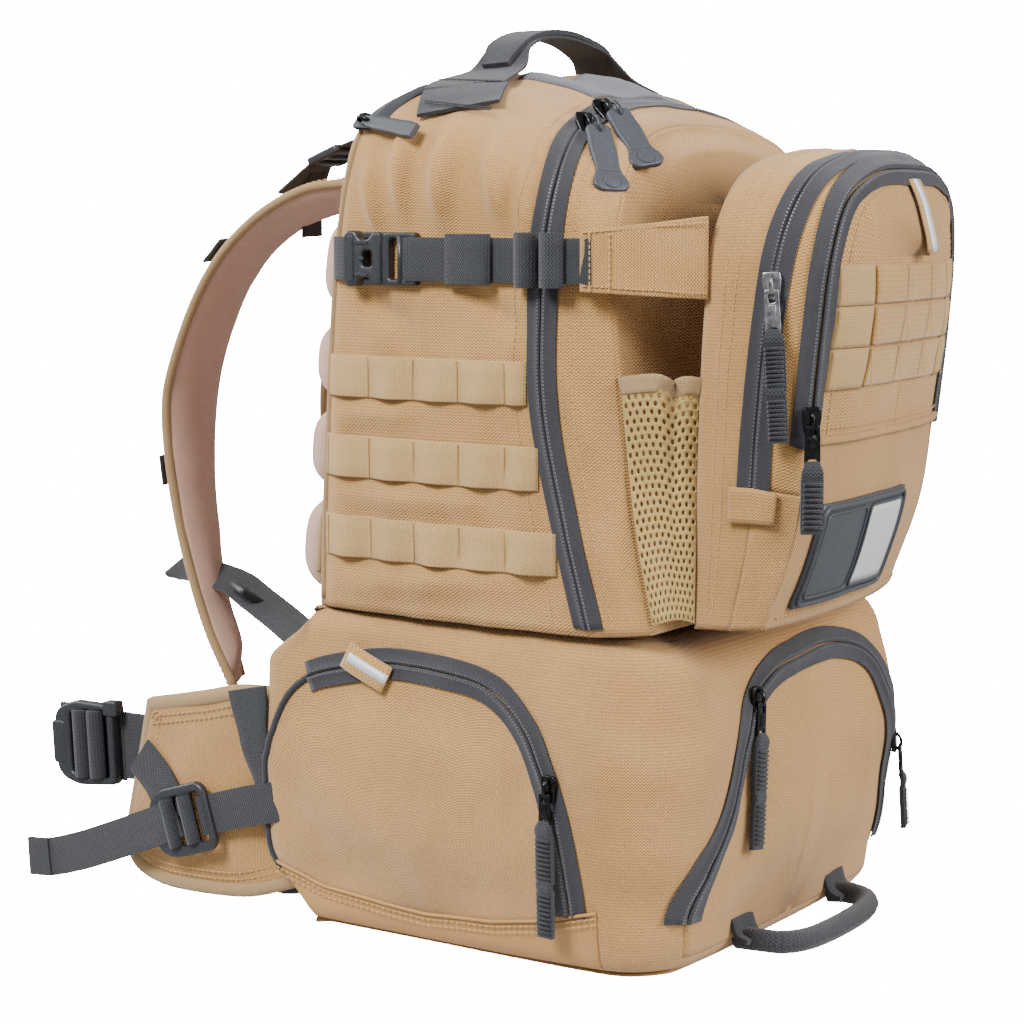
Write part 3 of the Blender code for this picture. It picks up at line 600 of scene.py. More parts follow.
def shell_height(p, s, t):
    h = wrinkle(p, 26.0, 0.0016, (1, 1.6, 0.8), 3.0) + wrinkle(p, 60.0, 0.0006, (1, 1, 1), 9.0)
    if abs(p.x) > 0.1:
        flat = Vector((0, p.y, p.z))
        for (y0, z0), (y1, z1), width, depth in SIDE_CREASES:
            h += 2.3 * crease(flat, Vector((0, y0, z0)), Vector((0, y1, z1)), width, depth)
    else:
        h += 0.0035 * math.sin(p.x * 95.0) * math.sin(math.pi * t) * smoothstep(0.1, 0.06, abs(p.x))
    return h * smoothstep(0.0, 0.12, t) * smoothstep(1.0, 0.9, t)


SHELL = Surface(shell_base, shell_height, outward=body_outward)


def back_plane(z):
    return 0.0985 - 0.104 * (z - 0.203)


def back_base(s, t):
    edge = shell_base(s, 1.0)
    z = edge.z + (min(edge.z, 0.452) - edge.z) * t
    round_in = 1 - (1 - min(1.0, t * 7)) ** 2
    return Vector((edge.x * (1 - t), edge.y + (back_plane(z) - 0.0025 - edge.y) * round_in, z))


BACK_WALL = Surface(back_base, lambda p, s, t: wrinkle(p, 24.0, 0.0012, seed=4.0) * smoothstep(0, 0.1, t),
                    outward=lambda p: BACK)


def panel_base(s, t):
    p = curve_at(ARCH_A, s).lerp(curve_at(ARCH_C, s), t)
    return p + body_outward(p) * 4 * t * (1 - t) * 0.003


PANEL_CREASES = (((-0.088, 0.35), (-0.106, 0.3), 0.005, 0.003), ((-0.098, 0.445), (-0.104, 0.395), 0.006,
                                                                 0.004), ((-0.084, 0.44), (-0.086, 0.39),
        0.005, -0.0025), ((-0.112, 0.26), (-0.122, 0.222), 0.0055, 0.003))


def panel_height(p, s, t):
    h = wrinkle(p, 34.0, 0.0016, (1, 1.4, 0.7), 17.0)
    if abs(p.x) > 0.1:
        flat = Vector((0, p.y, p.z))
        for (y0, z0), (y1, z1), width, depth in PANEL_CREASES:
            h += crease(flat, Vector((0, y0, z0)), Vector((0, y1, z1)), width, depth)
    return h * smoothstep(0.0, 0.2, t) * smoothstep(1.0, 0.85, t)


PANEL = Surface(panel_base, panel_height, outward=body_outward)


def panel_face_base(s, t):
    edge = curve_at(ARCH_C, s)
    z = edge.z + (min(edge.z, 0.445) - edge.z) * t
    y = edge.y + (-0.1375 + 0.12 * (z - 0.203) - edge.y) * smoothstep(0.0, 0.35, t)
    return Vector((edge.x * (1 - t), min(y, edge.y), z))


PANEL_FACE = Surface(panel_face_base, lambda p, s, t: wrinkle(p, 26.0, 0.002, seed=6.0) * smoothstep(0, 0.1,
        t), outward=lambda p: -BACK)


def make_upper_body():
    shell = sheet_piece("upper_shell_fabric", SHELL, (0, 1), (0, 1), (220, 56), ["tan_fabric"], "pack",
                        thickness=CLOTH)
    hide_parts("main_shell")
    sheet_piece("upper_back_fabric", BACK_WALL, (0, 1), (0, 1), (160, 34), ["tan_fabric"], "pack",
                thickness=CLOTH)
    panel = sheet_piece("main_panel_gusset", PANEL, (0, 1), (0, 1), (220, 18), ["tan_fabric"], "main_panel",
                        thickness=CLOTH)
    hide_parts("main_panel")
    sheet_piece("main_panel_face", PANEL_FACE, (0, 1), (0, 1), (140, 24), ["tan_fabric"], "main_panel",
                thickness=CLOTH)
    places = even_places(SHELL, 0.004, 0.996, 0.0)
    zip_half("main_zip_rear", edge_sampler(SHELL, places, 0.0, 1), len(places), "pack")
    zip_half("main_zip_front", edge_sampler(PANEL, places, 0.0, 1), len(places), "main_panel")
    for gap, name in ((TAPE_HALF + 0.0022, "inner"), (TAPE_HALF + 0.0085, "outer")):
        row = line_on(PANEL, [(0.004, gap / 0.042), (0.25, gap / 0.042), (0.5, gap / 0.042),
                              (0.75, gap / 0.042), (0.996, gap / 0.042)], 0.005)
        stitches("main_panel_stitch_" + name, [row], "main_panel")
    row = line_on(SHELL, [(s, 0.118) for s in (0.004, 0.25, 0.5, 0.75, 0.996)], 0.005)
    stitches("upper_shell_stitch", [row], "pack")
    seam = line_on(SHELL, [(s, 0.985) for s in (0.004, 0.25, 0.5, 0.75, 0.996)], 0.006)
    tube_on("upper_back_piping", seam, 0.0022, "binding", "pack")


def close_ends(bm, count):
    """Faces over the first and the last ring of a tube."""
    bm.verts.ensure_lookup_table()
    for ring in (list(range(count)), list(range(len(bm.verts) - count, len(bm.verts)))):
        bm.faces.new([bm.verts[k] for k in ring])


def tube_on(name, line, radius, mat, body, sides=8, lift=0.0, closed_ends=True):
    """Round cord or rolled edge along a line."""
    rows = []
    for (p, n), t in zip(line, tangents(line)):
        side = t.cross(n).normalized()
        up = side.cross(t).normalized()
        centre = p + n * lift
        rows.append([centre + (side * math.cos(a) + up * math.sin(a)) * radius
                     for a in (2 * math.pi * k / sides for k in range(sides))])
    bm = grid_mesh(rows, closed=True)
    if closed_ends:
        close_ends(bm, sides)
    outward_faces(bm)
    return finish_piece(name, bm, [mat], body)


# ------------------------------------------------------------------ lower compartment

BASE_TOP_Z = 0.198


def base_plan_points():
    """Left half of the plan outline, from the front centre round to the back centre, at mid height."""
    points = vectors((0, -0.1525, 0), (-0.05, -0.1525, 0), (-0.092, -0.151, 0))
    points += [Vector((-0.1 + 0.0475 * math.cos(a), -0.1035 + 0.0475 * math.sin(a), 0))
               for a in (math.radians(d) for d in (-108, -126, -144, -162))]
    points += vectors((-0.148, -0.094, 0), (-0.1495, -0.04, 0), (-0.15, 0.02, 0), (-0.151, 0.075, 0),
                      (-0.1515, 0.106, 0), (-0.15, 0.122, 0), (-0.143, 0.1265, 0), (-0.137, 0.118, 0),
                      (-0.13, 0.102, 0), (-0.112, 0.0955, 0), (-0.06, 0.0945, 0), (0, 0.0945, 0))
    return points


PLAN = resample(smooth_path(base_plan_points(), 240), 0.002)


class Base:
    """Lower compartment wall: a in 0..1 runs from the front centre to the back centre, on one side."""

    def __init__(self, side):
        self.side = side

    def plan(self, a):
        value = max(0.0, min(1.0, a)) * (len(PLAN) - 1)
        i = min(int(value), len(PLAN) - 2)
        p = PLAN[i].lerp(PLAN[i + 1], value - i)
        t = (PLAN[min(i + 2, len(PLAN) - 1)] - PLAN[max(i - 1, 0)]).normalized()
        n = t.cross(UP)
        if n.dot(p - Vector((0, -0.02, 0))) < 0:
            n.negate()
        return p, n.normalized()

    def local(self, a, z, lift=0.0, wrinkles=True):
        p, n = self.plan(a)
        front = smoothstep(-0.08, -0.15, p.y) * smoothstep(0.15, 0.08, abs(p.x))
        back = smoothstep(0.085, 0.094, p.y) * smoothstep(0.135, 0.1, abs(p.x))
        top = BASE_TOP_Z - 0.006 * front
        u = max(0.0, min(1.0, z / top))
        swell = (0.0085 + 0.0035 * front) * math.sin(math.pi * u) ** 0.8 * (1 - back)
        corner = smoothstep(-0.05, -0.12, p.y) * smoothstep(0.06, 0.13, abs(p.x))
        swell += 0.01 * corner * math.sin(math.pi * u ** 1.7)
        low, high = 0.014, 0.013 + 0.01 * front
        inset = 0.0
        if z < low:
            inset += low - math.sqrt(max(0.0, low * low - (low - z) ** 2))
        if z > top - high:
            k = (z - top + high) / high
            inset += high * (1 - math.sqrt(max(0.0, 1 - k * k * 0.97)))
        h = 0.0
        if wrinkles:
            h = wrinkle(Vector((p.x, p.y, z)), 22.0, 0.0026, (1, 1, 1.3), 21.0 + self.side) * (1 - back)
            h += wrinkle(Vector((p.x, p.y, z)), 60.0, 0.0007, (1, 1, 1), 5.0)
            h *= smoothstep(0.0, 0.03, z) * smoothstep(top, top - 0.02, z)
        q = p + n * (swell - inset + h + lift)
        fin = max(0.0, q.y - 0.096)
        q.y -= fin * (1 - smoothstep(0.0, 0.045, z) * smoothstep(top, top - 0.035, z))
        q.z = min(z, top)
        q.x *= self.side
        return q

    def frame(self, a, z, lift=0.0):
        e = 0.002
        p = self.local(a, z, lift)
        da = self.local(min(1, a + e), z) - self.local(max(0, a - e), z)
        dz = self.local(a, z + e) - self.local(a, max(0, z - e))
        n = da.cross(dz).normalized()
        _, flat = self.plan(a)
        flat = Vector((self.side * flat.x, flat.y, 0))
        if n.dot(flat) < 0:
            n.negate()
        return p, n

    def side_at(self, y, z, lift=0.0):
        return self.frame(self.a_smooth(y), z, lift)

    def a_smooth(self, y):
        """Place along the wall of a point with this y on the side, interpolated."""
        pairs = [(p.y, i) for i, p in enumerate(PLAN) if p.x < -0.1425 and p.y < 0.1262]
        for (y0, i0), (y1, _) in zip(pairs, pairs[1:]):
            if y0 <= y <= y1:
                return (i0 + (y - y0) / (y1 - y0 or 1e-9)) / (len(PLAN) - 1)
        return (pairs[0][1] if y < pairs[0][0] else pairs[-1][1]) / (len(PLAN) - 1)


LEFT, RIGHT = Base(1), Base(-1)
WALLS = ((LEFT, "left"), (RIGHT, "right"))


def front_wall(x, z, lift=0.0):
    """Front wall point and normal at any x, on both halves."""
    wall = LEFT if x <= 0 else RIGHT
    pairs = [(-p.x, i) for i, p in enumerate(PLAN) if p.y < -0.115]
    a = pairs[-1][1]
    for (x0, i0), (x1, _) in zip(pairs, pairs[1:]):
        if x0 <= abs(x) <= x1:
            a = i0 + (abs(x) - x0) / (x1 - x0 or 1e-9)
            break
    return wall.frame(a / (len(PLAN) - 1), z, lift)


SIDE_ZIP = ((0.123, 0.014), (0.124, 0.055), (0.122, 0.1), (0.115, 0.134), (0.097, 0.155), (0.062, 0.166),
            (0.024, 0.171), (-0.034, 0.166), (-0.066, 0.144), (-0.082, 0.115), (-0.091, 0.087),
            (-0.096, 0.05), (-0.096, 0.014))
FRONT_ZIP = ((-0.118, 0.012), (-0.12, 0.039), (-0.111, 0.065), (-0.095, 0.093), (-0.07, 0.137),
             (-0.041, 0.163), (0.013, 0.172), (0.06, 0.171), (0.094, 0.158), (0.112, 0.124), (0.119, 0.08),
             (0.121, 0.039), (0.119, 0.012))


def inside_outline(u, v, outline):
    """Even-odd test of a point against a closed outline."""
    inside = False
    for (x0, y0), (x1, y1) in zip(outline, outline[1:] + outline[:1]):
        if (y0 > v) != (y1 > v) and u < (x1 - x0) * (v - y0) / (y1 - y0) + x0:
            inside = not inside
    return inside


def flap_path(points, step=0.004):
    path = resample(smooth_path([(y, z, 0) for y, z in points], 120), step)
    return [(p.x, p.y) for p in path]


def shrink(outline, distance):
    """Outline moved towards its middle."""
    cx = sum(p[0] for p in outline) / len(outline)
    cy = sum(p[1] for p in outline) / len(outline)
    out = []
    for x, y in outline:
        gap = math.hypot(x - cx, y - cy)
        out.append((cx + (x - cx) * (1 - distance / gap), cy + (y - cy) * (1 - distance / gap)))
    return out


def make_base_wall():
    """Fabric of the lower compartment with the flap openings left free."""
    side_hole = shrink(flap_path(SIDE_ZIP, 0.008), 0.004)
    front_hole = shrink(flap_path(FRONT_ZIP, 0.008), 0.004)
    loop = [(LEFT, i) for i in range(len(PLAN))] + [(RIGHT, i) for i in range(len(PLAN) - 2, 0, -1)]
    zs = [0.0, 0.004, 0.009, 0.014] + [0.014 + 0.0025 * k for k in range(1, 66)] + [0.183, 0.187, 0.19,
            0.193, 0.195, 0.1975, 0.198]
    rows = [[wall.local(i / (len(PLAN) - 1), z) for wall, i in loop] for z in zs]

    def keep(r, i):
        wall, index = loop[i]
        p = PLAN[index]
        z = zs[r] + 0.001
        if p.x < -0.1425 and p.y < 0.1262 and inside_outline(p.y, z, side_hole):
            return False
        x = p.x if wall is LEFT else -p.x
        return not (p.y < -0.115 and inside_outline(x, z, front_hole))

    bm = grid_mesh(rows, keep=keep, closed=True)
    outward_faces(bm)
    bm.normal_update()
    probe = max(bm.faces, key=lambda f: -f.calc_center_median().y)
    if probe.normal.y > 0:
        bmesh.ops.reverse_faces(bm, faces=bm.faces)
    wall = finish_piece("lower_compartment_fabric", bm, ["tan_fabric"], "pack", thickness=CLOTH)
    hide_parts("base_shell")
    for name, z in (("lower_compartment_top", 0.198), ("underside_leather", 0.0006)):
        ring = [wall_.local(i / (len(PLAN) - 1), z, wrinkles=False) for wall_, i in loop]
        rings = [[Vector((p.x * k, (p.y + 0.02) * k - 0.02, p.z)) for p in ring]
                 for k in (1.0, 0.9, 0.6, 0.3, 0.03)]
        bm = grid_mesh(rings, closed=True)
        outward_faces(bm)
        obj = finish_piece(name, bm, ["boot" if "leather" in name else "tan_fabric"], "pack",
                           thickness=CLOTH)
        if "leather" in name:
            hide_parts("bottom_boot")


def flap_patch(name, path, place, centre, puff, node):
    """Puffed fabric inside a zip arch: rows shrink from the zip towards the middle of the lower edge."""
    rings = 26
    rows = []
    for k in range(rings + 1):
        t = 1 - k / (rings + 0.6)
        row = []
        for u, v in path:
            pu, pv = centre[0] + (u - centre[0]) * t, centre[1] + (v - centre[1]) * t
            p, n = place(pu, pv)
            inner = min(1.0, t / 0.87)
            lift = puff * (1 - inner ** 2.4) * smoothstep(0.03, 0.08, pv) + 0.0004
            row.append(p + n * lift)
        rows.append(row)
    bm = grid_mesh(rows)
    bm.faces.new(list(bm.verts)[-len(path):])
    outward_faces(bm)
    face_towards(bm, place(centre[0], 0.1)[1])
    obj = finish_piece(name, bm, ["tan_fabric"], None, thickness=CLOTH)
    apply_modifiers(obj)
    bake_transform(obj)
    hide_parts(node)
    return obj


def apply_modifiers(obj):
    """Bake the modifiers of a piece that has no parent yet."""
    bpy.context.view_layer.update()
    mesh = bpy.data.meshes.new_from_object(obj.evaluated_get(bpy.context.evaluated_depsgraph_get()))
    obj.modifiers.clear()
    obj.data = mesh


def arch_zip(name, path, place, centre, pack_body, flap_body):
    """Both halves of a zip round a flap."""
    def sampler(way):
        def sample(k, distance):
            (u0, v0), (u1, v1) = path[max(0, k - 1)], path[min(len(path) - 1, k + 1)]
            length = math.hypot(u1 - u0, v1 - v0)
            du, dv = (v1 - v0) / length, -(u1 - u0) / length
            u, v = path[k]
            if du * (u - centre[0]) + dv * (v - centre[1]) < 0:
                du, dv = -du, -dv
            return place(u + way * du * distance, v + way * dv * distance)
        return sample
    zip_half(name + "_outer", sampler(1), len(path), pack_body)
    zip_half(name + "_inner", sampler(-1), len(path), flap_body, 0.002)


def make_flaps():
    for wall, name in WALLS:
        def place(y, z, wall=wall):
            return wall.side_at(y, z)
        path = flap_path(SIDE_ZIP, 0.0045)
        flap_patch("side_flap_%s_fabric" % name, path, place, (0.01, 0.012), 0.0085,
                   "side_flap_" + name)
        turn = next(i for i, q in enumerate(path) if q[0] < 0.096 and q[1] > 0.1)
        piping = [q for q in path[:turn + 1] if q[1] > 0.03]
        zipped = [q for q in path[turn:] if q[1] > 0.034]
        arch_zip("side_zip_" + name, zipped, place, (0.01, 0.06), "pack", "side_flap_" + name)
        tube_on("side_piping_" + name, [place(*q) for q in piping], 0.002, "tape", "pack", lift=0.0012)
    path = flap_path(FRONT_ZIP, 0.0045)
    flap_patch("front_flap_fabric", path, front_wall, (0.0, 0.012), 0.009,
               "front_flap")
    zipped = [q for q in path if q[1] > 0.034]
    arch_zip("front_zip", zipped, front_wall, (0.0, 0.06), "pack", "front_flap")


def make_boot():
    """Leather boot: a band round the bottom with a seam that dips along each side."""
    for wall, name in WALLS:
        rows = []
        seam = []
        last = wall.a_smooth(-0.112)
        steps = 90
        for k in range(steps + 1):
            a = last + (1 - last) * k / steps
            p, _ = wall.plan(a)
            top = boot_top(p)
            rows.append([wall.local(a, top * m / 8, 0.0013) for m in range(9)])
            seam.append(wall.frame(a, top, 0.0012))
        bm = grid_mesh(rows)
        outward_faces(bm)
        bm.normal_update()
        probe = min(bm.faces, key=lambda f: f.calc_center_median().x * wall.side)
        if probe.normal.x * wall.side > 0:
            bmesh.ops.reverse_faces(bm, faces=bm.faces)
        finish_piece("boot_band_" + name, bm, ["boot"], "pack", thickness=0.0012)
        tube_on("boot_edge_" + name, seam, 0.0011, "boot", "pack", lift=0.0006)
        stitches("boot_stitch_" + name, [lower(seam, 0.003), lower(seam, 0.0065)], "pack")


def boot_top(p):
    """Height of the boot's upper seam at a plan point."""
    if p.y > 0.09 and p.x > -0.135:
        return 0.036
    heights = [(-0.125, 0.046), (-0.11, 0.04), (-0.073, 0.03), (-0.04, 0.024), (0.007, 0.021),
               (0.083, 0.026), (0.12, 0.036)]
    for (y0, z0), (y1, z1) in zip(heights, heights[1:]):
        if y0 <= p.y <= y1:
            return z0 + (z1 - z0) * (p.y - y0) / (y1 - y0)
    return heights[0][1] if p.y < heights[0][0] else 0.036


def lower(seam, distance):
    """The seam line shifted down the wall."""
    return [(p - UP * distance + n * 0.0006, n) for p, n in seam]


# ------------------------------------------------------------------ pouch

RING_R = mirror_arch(((-0.118, -0.143, 0.206), (-0.119, -0.144, 0.26), (-0.119, -0.145, 0.32),
                      (-0.118, -0.147, 0.38), (-0.114, -0.15, 0.425), (-0.095, -0.156, 0.458),
                      (-0.055, -0.16, 0.472), (0, -0.162, 0.475)))
RING_1 = mirror_arch(((-0.116, -0.164, 0.206), (-0.119, -0.176, 0.26), (-0.12, -0.181, 0.32),
                      (-0.119, -0.186, 0.38), (-0.114, -0.192, 0.425), (-0.096, -0.2, 0.456),
                      (-0.055, -0.206, 0.47), (0, -0.208, 0.473)))
RING_2 = mirror_arch(((-0.106, -0.181, 0.206), (-0.109, -0.199, 0.26), (-0.11, -0.206, 0.31),
                      (-0.11, -0.212, 0.37), (-0.106, -0.216, 0.415), (-0.09, -0.219, 0.446),
                      (-0.052, -0.222, 0.461), (0, -0.223, 0.464)))
MID_LOW_Z = 0.288
FRONT_LOW_Z = 0.312


def pouch_outward(p):
    up = smoothstep(0.4, 0.465, p.z)
    return Vector((math.copysign(1 - up, p.x) if up < 1 else 0.0, -0.25, up + 1e-6)).normalized()


def between(ring_a, ring_b, swell):
    def base(s, t):
        p = curve_at(ring_a, s).lerp(curve_at(ring_b, s), t)
        return p + pouch_outward(p) * 4 * t * (1 - t) * swell
    return base


def soft(seed, amount=0.0016, scale=32.0):
    def height(p, s, t):
        return (wrinkle(p, scale, amount, (1, 1.5, 0.8), seed)
                + wrinkle(p, 75.0, 0.0004, seed=seed)) * smoothstep(0, 0.15, t) * smoothstep(1, 0.85, t)
    return height


POUCH_REAR = Surface(between(RING_R, RING_1, 0.0025), soft(31.0), POUCH_TURN, pouch_outward)
POUCH_MID = Surface(between(RING_1, RING_2, 0.003), soft(33.0), POUCH_TURN, pouch_outward)


def front_face_base(s, t):
    edge = curve_at(RING_2, s)
    z = edge.z + (min(edge.z, 0.415) - edge.z) * t
    y = edge.y - 0.017 * (1 - (1 - t) ** 2.6) * (0.65 + 0.35 * math.sin(math.pi * smoothstep(0.3, 0.47, z)))
    return Vector((edge.x * (1 - t), y, z))


def front_height(p, s, t):
    h = (wrinkle(p, 36.0, 0.0014, seed=41.0) + wrinkle(p, 80.0, 0.0004, seed=3.0)) * smoothstep(0, 0.1, t)
    for x in (-0.07, 0.072):
        h += crease(Vector((p.x, 0, p.z)), Vector((x, 0, 0.452)), Vector((x * 0.93, 0, 0.425)), 0.005,
                    0.0022)
    return h


POUCH_FACE = Surface(front_face_base, front_height, POUCH_TURN, lambda p: -BACK)


def low_face_base(s, t):
    """Lower face of the pouch: slightly inset below the front compartment's overhang."""
    side = -1 if s < 0.5 else 1
    across = abs(1 - 2 * s)
    x = side * 0.108 * across
    z = 0.2055 + (0.318 - 0.2055) * t
    lean = curve_at(RING_2, arch_s(RING_2, z, -1)).y
    y = lean - 0.011 * (1 - across ** 2.4)
    return Vector((x, y, z))


POUCH_LOW = Surface(low_face_base, lambda p, s, t: wrinkle(p, 30.0, 0.0014, seed=47.0) * smoothstep(0, 0.1,
        t), POUCH_TURN, lambda p: -BACK)


def arch_s(ring, z, side):
    """Parameter of a ring's point at height z, on the left (-1) or right (+1)."""
    low, high = 0.0, 0.5
    for _ in range(30):
        mid = (low + high) / 2
        if curve_at(ring, mid).z < z:
            low = mid
        else:
            high = mid
    return low if side < 0 else 1 - low


def make_pouch():
    rear = sheet_piece("pouch_rear_fabric", POUCH_REAR, (0, 1), (0, 1), (200, 12), ["tan_fabric"], "pouch",
                       thickness=CLOTH)
    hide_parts("pouch_body")
    s_mid = arch_s(RING_1, MID_LOW_Z, -1)
    s_front = arch_s(RING_2, FRONT_LOW_Z, -1)
    mid = sheet_piece("pouch_mid_fabric", POUCH_MID, (s_mid, 1 - s_mid), (0, 1), (170, 12), ["tan_fabric"],
                      "pouch_mid", thickness=CLOTH)
    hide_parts("pouch_mid")
    for name, span in (("left", (0, s_mid)), ("right", (1 - s_mid, 1))):
        low = sheet_piece("pouch_low_side_" + name, POUCH_MID, span, (0, 1), (34, 12), ["tan_fabric"],
                          "pouch", thickness=CLOTH)
        if name == "left":
            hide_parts("pouch_lower")
    face = sheet_piece("pouch_front_fabric", POUCH_FACE, (s_front, 1 - s_front), (0, 0.999), (150, 40),
                       ["tan_fabric"], "pouch_front", thickness=CLOTH)
    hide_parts("pouch_front")
    sheet_piece("pouch_low_face", POUCH_LOW, (0, 1), (0, 1), (70, 30), ["tan_fabric"], "pouch",
                thickness=CLOTH)
    ring = [POUCH_TURN @ Vector((x, y, 0.206)) for x, y in ((-0.118, -0.143), (-0.116, -0.164),
                                                            (-0.106, -0.181), (-0.05, -0.19), (0.05, -0.19),
                                                            (0.106, -0.181), (0.116, -0.164),
                                                            (0.118, -0.143))]
    bm = bmesh.new()
    bm.faces.new([bm.verts.new(p) for p in ring])
    finish_piece("pouch_underside", bm, ["tan_fabric"], "pouch", thickness=CLOTH, offset=0)
    s_low = arch_s(RING_1, 0.284, -1)
    places = even_places(POUCH_REAR, s_low, 1 - s_low, 1.0)
    zip_half("pouch_rear_zip_back", edge_sampler(POUCH_REAR, places, 1.0, -1), len(places), "pouch")
    zip_half("pouch_rear_zip_front", edge_sampler(POUCH_MID, places, 0.0, 1), len(places), "pouch_mid")
    s_low = arch_s(RING_2, 0.309, -1)
    places = even_places(POUCH_MID, s_low, 1 - s_low, 1.0)
    zip_half("pouch_front_zip_back", edge_sampler(POUCH_MID, places, 1.0, -1), len(places), "pouch_mid")
    zip_half("pouch_front_zip_front", edge_sampler(POUCH_FACE, places, 0.0, 1), len(places), "pouch_front")
    for k, t in enumerate((0.3, 0.46)):
        stitches("pouch_rear_stitch_%d" % k,
                 [line_on(POUCH_REAR, [(0.01 + 0.98 * j / 6, t) for j in range(7)], 0.005)], "pouch")
    stitches("pouch_front_stitch",
             [line_on(POUCH_FACE, [(s_front + (1 - 2 * s_front) * j / 6, 0.165) for j in range(7)], 0.005)],
             "pouch_front")


# ------------------------------------------------------------------ hardware helpers

def as_object(name, curve, mats):
    """Turn a curve datablock into a mesh piece."""
    holder = bpy.data.objects.new(name + "_curve", curve)
    bpy.context.collection.objects.link(holder)
    bpy.context.view_layer.update()
    mesh = bpy.data.meshes.new_from_object(holder.evaluated_get(bpy.context.evaluated_depsgraph_get()))
    mesh.transform(holder.matrix_world)
    bpy.data.objects.remove(holder)
    bm = bmesh.new()
    bm.from_mesh(mesh)
    bpy.data.meshes.remove(mesh)
    bmesh.ops.remove_doubles(bm, verts=bm.verts, dist=0.00002)
    outward_faces(bm)
    obj = finish_piece(name, bm, mats, None)
    obj.data.set_sharp_from_angle(angle=math.radians(38))
    return obj


def axes_frame(origin, right, up):
    """Matrix whose x is right, y is up and z is their cross product."""
    x = Vector(right).normalized()
    z = x.cross(Vector(up)).normalized()
    y = z.cross(x).normalized()
    m = Matrix((x, y, z)).transposed().to_4x4()
    m.translation = Vector(origin)
    return m


def rounded_outline(points, radius, steps=4):
    """Closed outline whose corners are rounded."""
    out = []
    count = len(points)
    for i in range(count):
        a, b, c = (Vector((*points[(i + k - 1) % count], 0)) for k in range(3))
        reach = min(radius, (a - b).length * 0.45, (c - b).length * 0.45)
        start, end = b + (a - b).normalized() * reach, b + (c - b).normalized() * reach
        for k in range(steps + 1):
            t = k / steps
            out.append(start.lerp(b, t).lerp(b.lerp(end, t), t))
    return out


def box_outline(half_x, half_y, cx=0.0, cy=0.0):
    return [(cx - half_x, cy - half_y), (cx + half_x, cy - half_y), (cx + half_x, cy + half_y),
            (cx - half_x, cy + half_y)]


def plate(name, matrix, outline, thickness, mat, body, holes=(), radius=0.001, edge=0.0004):
    """Flat moulded plate with rounded edges; outline and holes are in the plate's own x and y."""
    curve = bpy.data.curves.new(name, "CURVE")
    curve.dimensions = "2D"
    curve.fill_mode = "BOTH"
    curve.extrude = max(0.00005, thickness / 2 - edge)
    curve.bevel_depth = edge
    curve.bevel_resolution = 2
    curve.offset = -edge
    for points in (outline, *holes):
        loop = rounded_outline(points, radius)
        spline = curve.splines.new("POLY")
        spline.points.add(len(loop) - 1)
        for point, place in zip(spline.points, loop):
            point.co = (place.x, place.y, 0, 1)
        spline.use_cyclic_u = True
    holder = as_object(name, curve, [mat])
    holder.data.transform(matrix)
    if body:
        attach(holder, body)
    return holder


def tangent_at(points, i):
    """Direction of a path at one of its points."""
    return (Vector(points[min(i + 1, len(points) - 1)]) - Vector(points[max(i - 1, 0)])).normalized()


def rod(name, points, radius, mat, body, sides=10):
    """Round bar through points."""
    line = []
    for i, p in enumerate(points):
        t = tangent_at(points, i)
        n = t.cross(Vector((0.31, 0.17, 0.93))).normalized()
        line.append((Vector(p), n))
    return tube_on(name, line, radius, mat, body, sides)


def band(name, points, up, width, thickness, mat, body, widths=None, smooth_steps=0):
    """Flat webbing through points; up gives the flat side's direction, as a vector or one per point."""
    if smooth_steps:
        points = smooth_path(points, smooth_steps)
    ups = up if isinstance(up, list) else [Vector(up)] * len(points)
    if len(ups) != len(points):
        ups = smooth_path(ups, len(points) - 1)
    rows = []
    for i, p in enumerate(points):
        t = tangent_at(points, i)
        side = t.cross(ups[i]).normalized()
        n = side.cross(t).normalized()
        w = width * (curve_number(widths, i / (len(points) - 1)) if widths else 1.0)
        across = [-0.5, -0.47, -0.25, 0, 0.25, 0.47, 0.5]
        row = [Vector(p) + side * w * k + n * (thickness / 2 - (0.0003 if abs(k) == 0.5 else 0))
               for k in across]
        row += [Vector(p) + side * w * k - n * (thickness / 2 - (0.0003 if abs(k) == 0.5 else 0))
                for k in across[::-1]]
        rows.append(row)
    bm = grid_mesh(rows, closed=True)
    close_ends(bm, len(rows[0]))
    outward_faces(bm)
    obj = finish_piece(name, bm, [mat], None)
    obj.data.set_sharp_from_angle(angle=math.radians(50))
    if body:
        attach(obj, body)
    return obj


def curve_number(values, t):
    value = t * (len(values) - 1)
    i = min(int(value), len(values) - 2)
    return values[i] + (values[i + 1] - values[i]) * smoothstep(0, 1, value - i)


